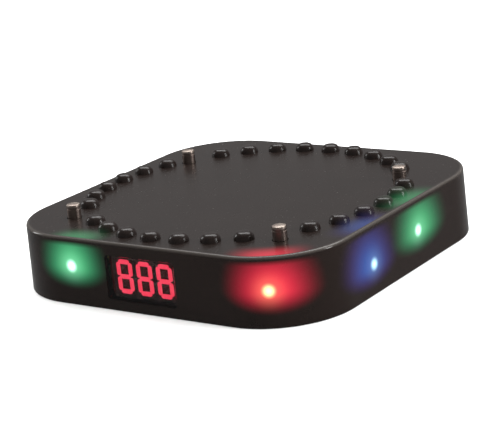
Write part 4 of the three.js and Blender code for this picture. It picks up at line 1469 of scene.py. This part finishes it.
def dome_tree():
    """Domes on a circle of points, without those that come too close to the given points."""
    tree = Tree("dome_ring", {
        "Count": "Int", "Circle": "Float", "Roof": "Float", "Radius": "Float",
        "Rise": "Float", "Clearance": "Float", "Finish": "Material",
    })
    given = tree.source.outputs
    around = {"Vertices": given["Count"], "Radius": given["Circle"]}
    circle = tree.add("GeometryNodeMeshCircle", sockets=around)
    lift = tree.add("ShaderNodeCombineXYZ", sockets={"Z": given["Roof"]})
    raised = tree.add("GeometryNodeTransform", sockets={
        "Geometry": circle.outputs[0], "Translation": lift.outputs[0],
    })
    near = tree.add("GeometryNodeProximity", {"target_element": "POINTS"}, {0: given["Geometry"]})
    close = tree.maths("LESS_THAN", near.outputs["Distance"], given["Clearance"])
    kept = tree.add("GeometryNodeDeleteGeometry", sockets={"Geometry": raised.outputs[0], "Selection": close})
    cone = tree.add("GeometryNodeMeshCone", {"fill_type": "NONE"}, {
        "Vertices": DOME_SIDES, "Side Segments": DOME_LEVELS,
        "Radius Top": 0.0, "Radius Bottom": given["Radius"], "Depth": 1.0,
    })
    place = tree.add("GeometryNodeInputPosition").outputs[0]
    split = tree.add("ShaderNodeSeparateXYZ", sockets={0: place})
    reach = tree.maths("SUBTRACT", 1.0, split.outputs[2])
    swell = tree.maths("SUBTRACT", 1.0, tree.maths("POWER", reach, CROWN_FLATNESS))
    crown = tree.maths("POWER", tree.maths("MAXIMUM", swell, 0.0), CROWN_SHARPNESS)
    height = tree.maths("SUBTRACT", tree.maths("MULTIPLY", crown, given["Rise"]), DOME_SINK)
    moved = tree.add("ShaderNodeCombineXYZ", sockets={0: split.outputs[0], 1: split.outputs[1], 2: height})
    domed = {"Geometry": cone.outputs[0], "Position": moved.outputs[0]}
    dome = tree.add("GeometryNodeSetPosition", sockets=domed)
    ring = tree.add("GeometryNodeInstanceOnPoints", sockets={
        "Points": kept.outputs[0], "Instance": dome.outputs[0],
    })
    return tree.dress(ring.outputs[0], given["Finish"])


post_spots = bpy.data.meshes.new("roof_domes")
post_spots.from_pydata([(*middle_of(node)[:2], BODY_TOP) for node in POST_NODES], [], [])
domes = dome_tree().grow(mesh_object("roof_domes", post_spots), {
    "Count": DOME_COUNT,
    "Circle": DOME_CIRCLE,
    "Roof": BODY_TOP,
    "Radius": DOME_RADIUS,
    "Rise": DOME_RISE,
    "Clearance": DOME_CLEARANCE,
    "Finish": shell_finish.material,
})
fit(domes, shell_finish, "smoked_shell", "housing")

# ---- Cover screws ---------------------------------------------------------------------------
# Four zinc-plated self-tapping screws close the case from below. Each has a cross recess in its
# head and a rolled thread that bites into a boss under the roof.
SCREW_HEAD = 2.3 * MM
SCREW_CORE = 0.70 * MM
SCREW_THREAD = 0.90 * MM
THREAD_PITCH = 0.85 * MM
THREAD_RINGS = 120
RECESS_LONG = 2.8 * MM
RECESS_WIDE = 0.62 * MM
RECESS_DEEP = 0.54 * MM
HEAD_THICK = 0.9 * MM
POINT_LENGTH = 0.9 * MM
THREAD_START = 0.3 * MM

zinc_finish = metal_finish("zinc_plate", (0.34, 0.34, 0.33), (0.50, 0.50, 0.48), 0.30)
for node in SCREW_NODES:
    low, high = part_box(node)
    spot = middle_of(node)
    neck = low.z + HEAD_THICK
    point = high.z
    thread_foot = neck + THREAD_START
    profile = [
        (0, low.z),
        (SCREW_HEAD - 0.5 * MM, low.z),
        (SCREW_HEAD - 0.2 * MM, low.z + 0.06 * MM),
        (SCREW_HEAD - 0.05 * MM, low.z + 0.2 * MM),
        (SCREW_HEAD, low.z + 0.4 * MM),
        (SCREW_HEAD, neck - 0.06 * MM),
        (SCREW_HEAD - 0.06 * MM, neck),
        (SCREW_THREAD, neck),
    ]
    for ring in range(THREAD_RINGS + 1):
        height = thread_foot + (point - thread_foot) * ring / THREAD_RINGS
        tapered = min(1.0, (point - height) / POINT_LENGTH + 0.12)
        profile.append((SCREW_CORE * tapered, height))
    profile.append((0, point))
    screw = turned(node.replace("cover_", ""), profile, 24)
    for vert in screw.data.vertices:
        if neck + 0.25 * MM < vert.co.z < point - 0.05 * MM:
            angle = math.atan2(vert.co.y, vert.co.x)
            phase = (vert.co.z / THREAD_PITCH - angle / (2 * math.pi)) % 1.0
            ridge = max(0.0, 1.0 - abs(phase - 0.5) * 3.2)
            grown = 1 + ridge * (SCREW_THREAD - SCREW_CORE) / SCREW_CORE
            vert.co.x *= grown
            vert.co.y *= grown
    floor_of_recess = low.z + RECESS_DEEP
    half_long, half_wide = RECESS_LONG / 2, RECESS_WIDE / 2
    slots = [
        brick("slot", (-half_long, -half_wide, -MM), (half_long, half_wide, floor_of_recess)),
        brick("slot", (-half_wide, -half_long, -MM), (half_wide, half_long, floor_of_recess)),
    ]
    cut(screw, *slots)
    screw.data.transform(Matrix.Translation((spot.x, spot.y, 0)))
    fit(smooth(screw, 40), zinc_finish, "screw_steel", "housing", node)
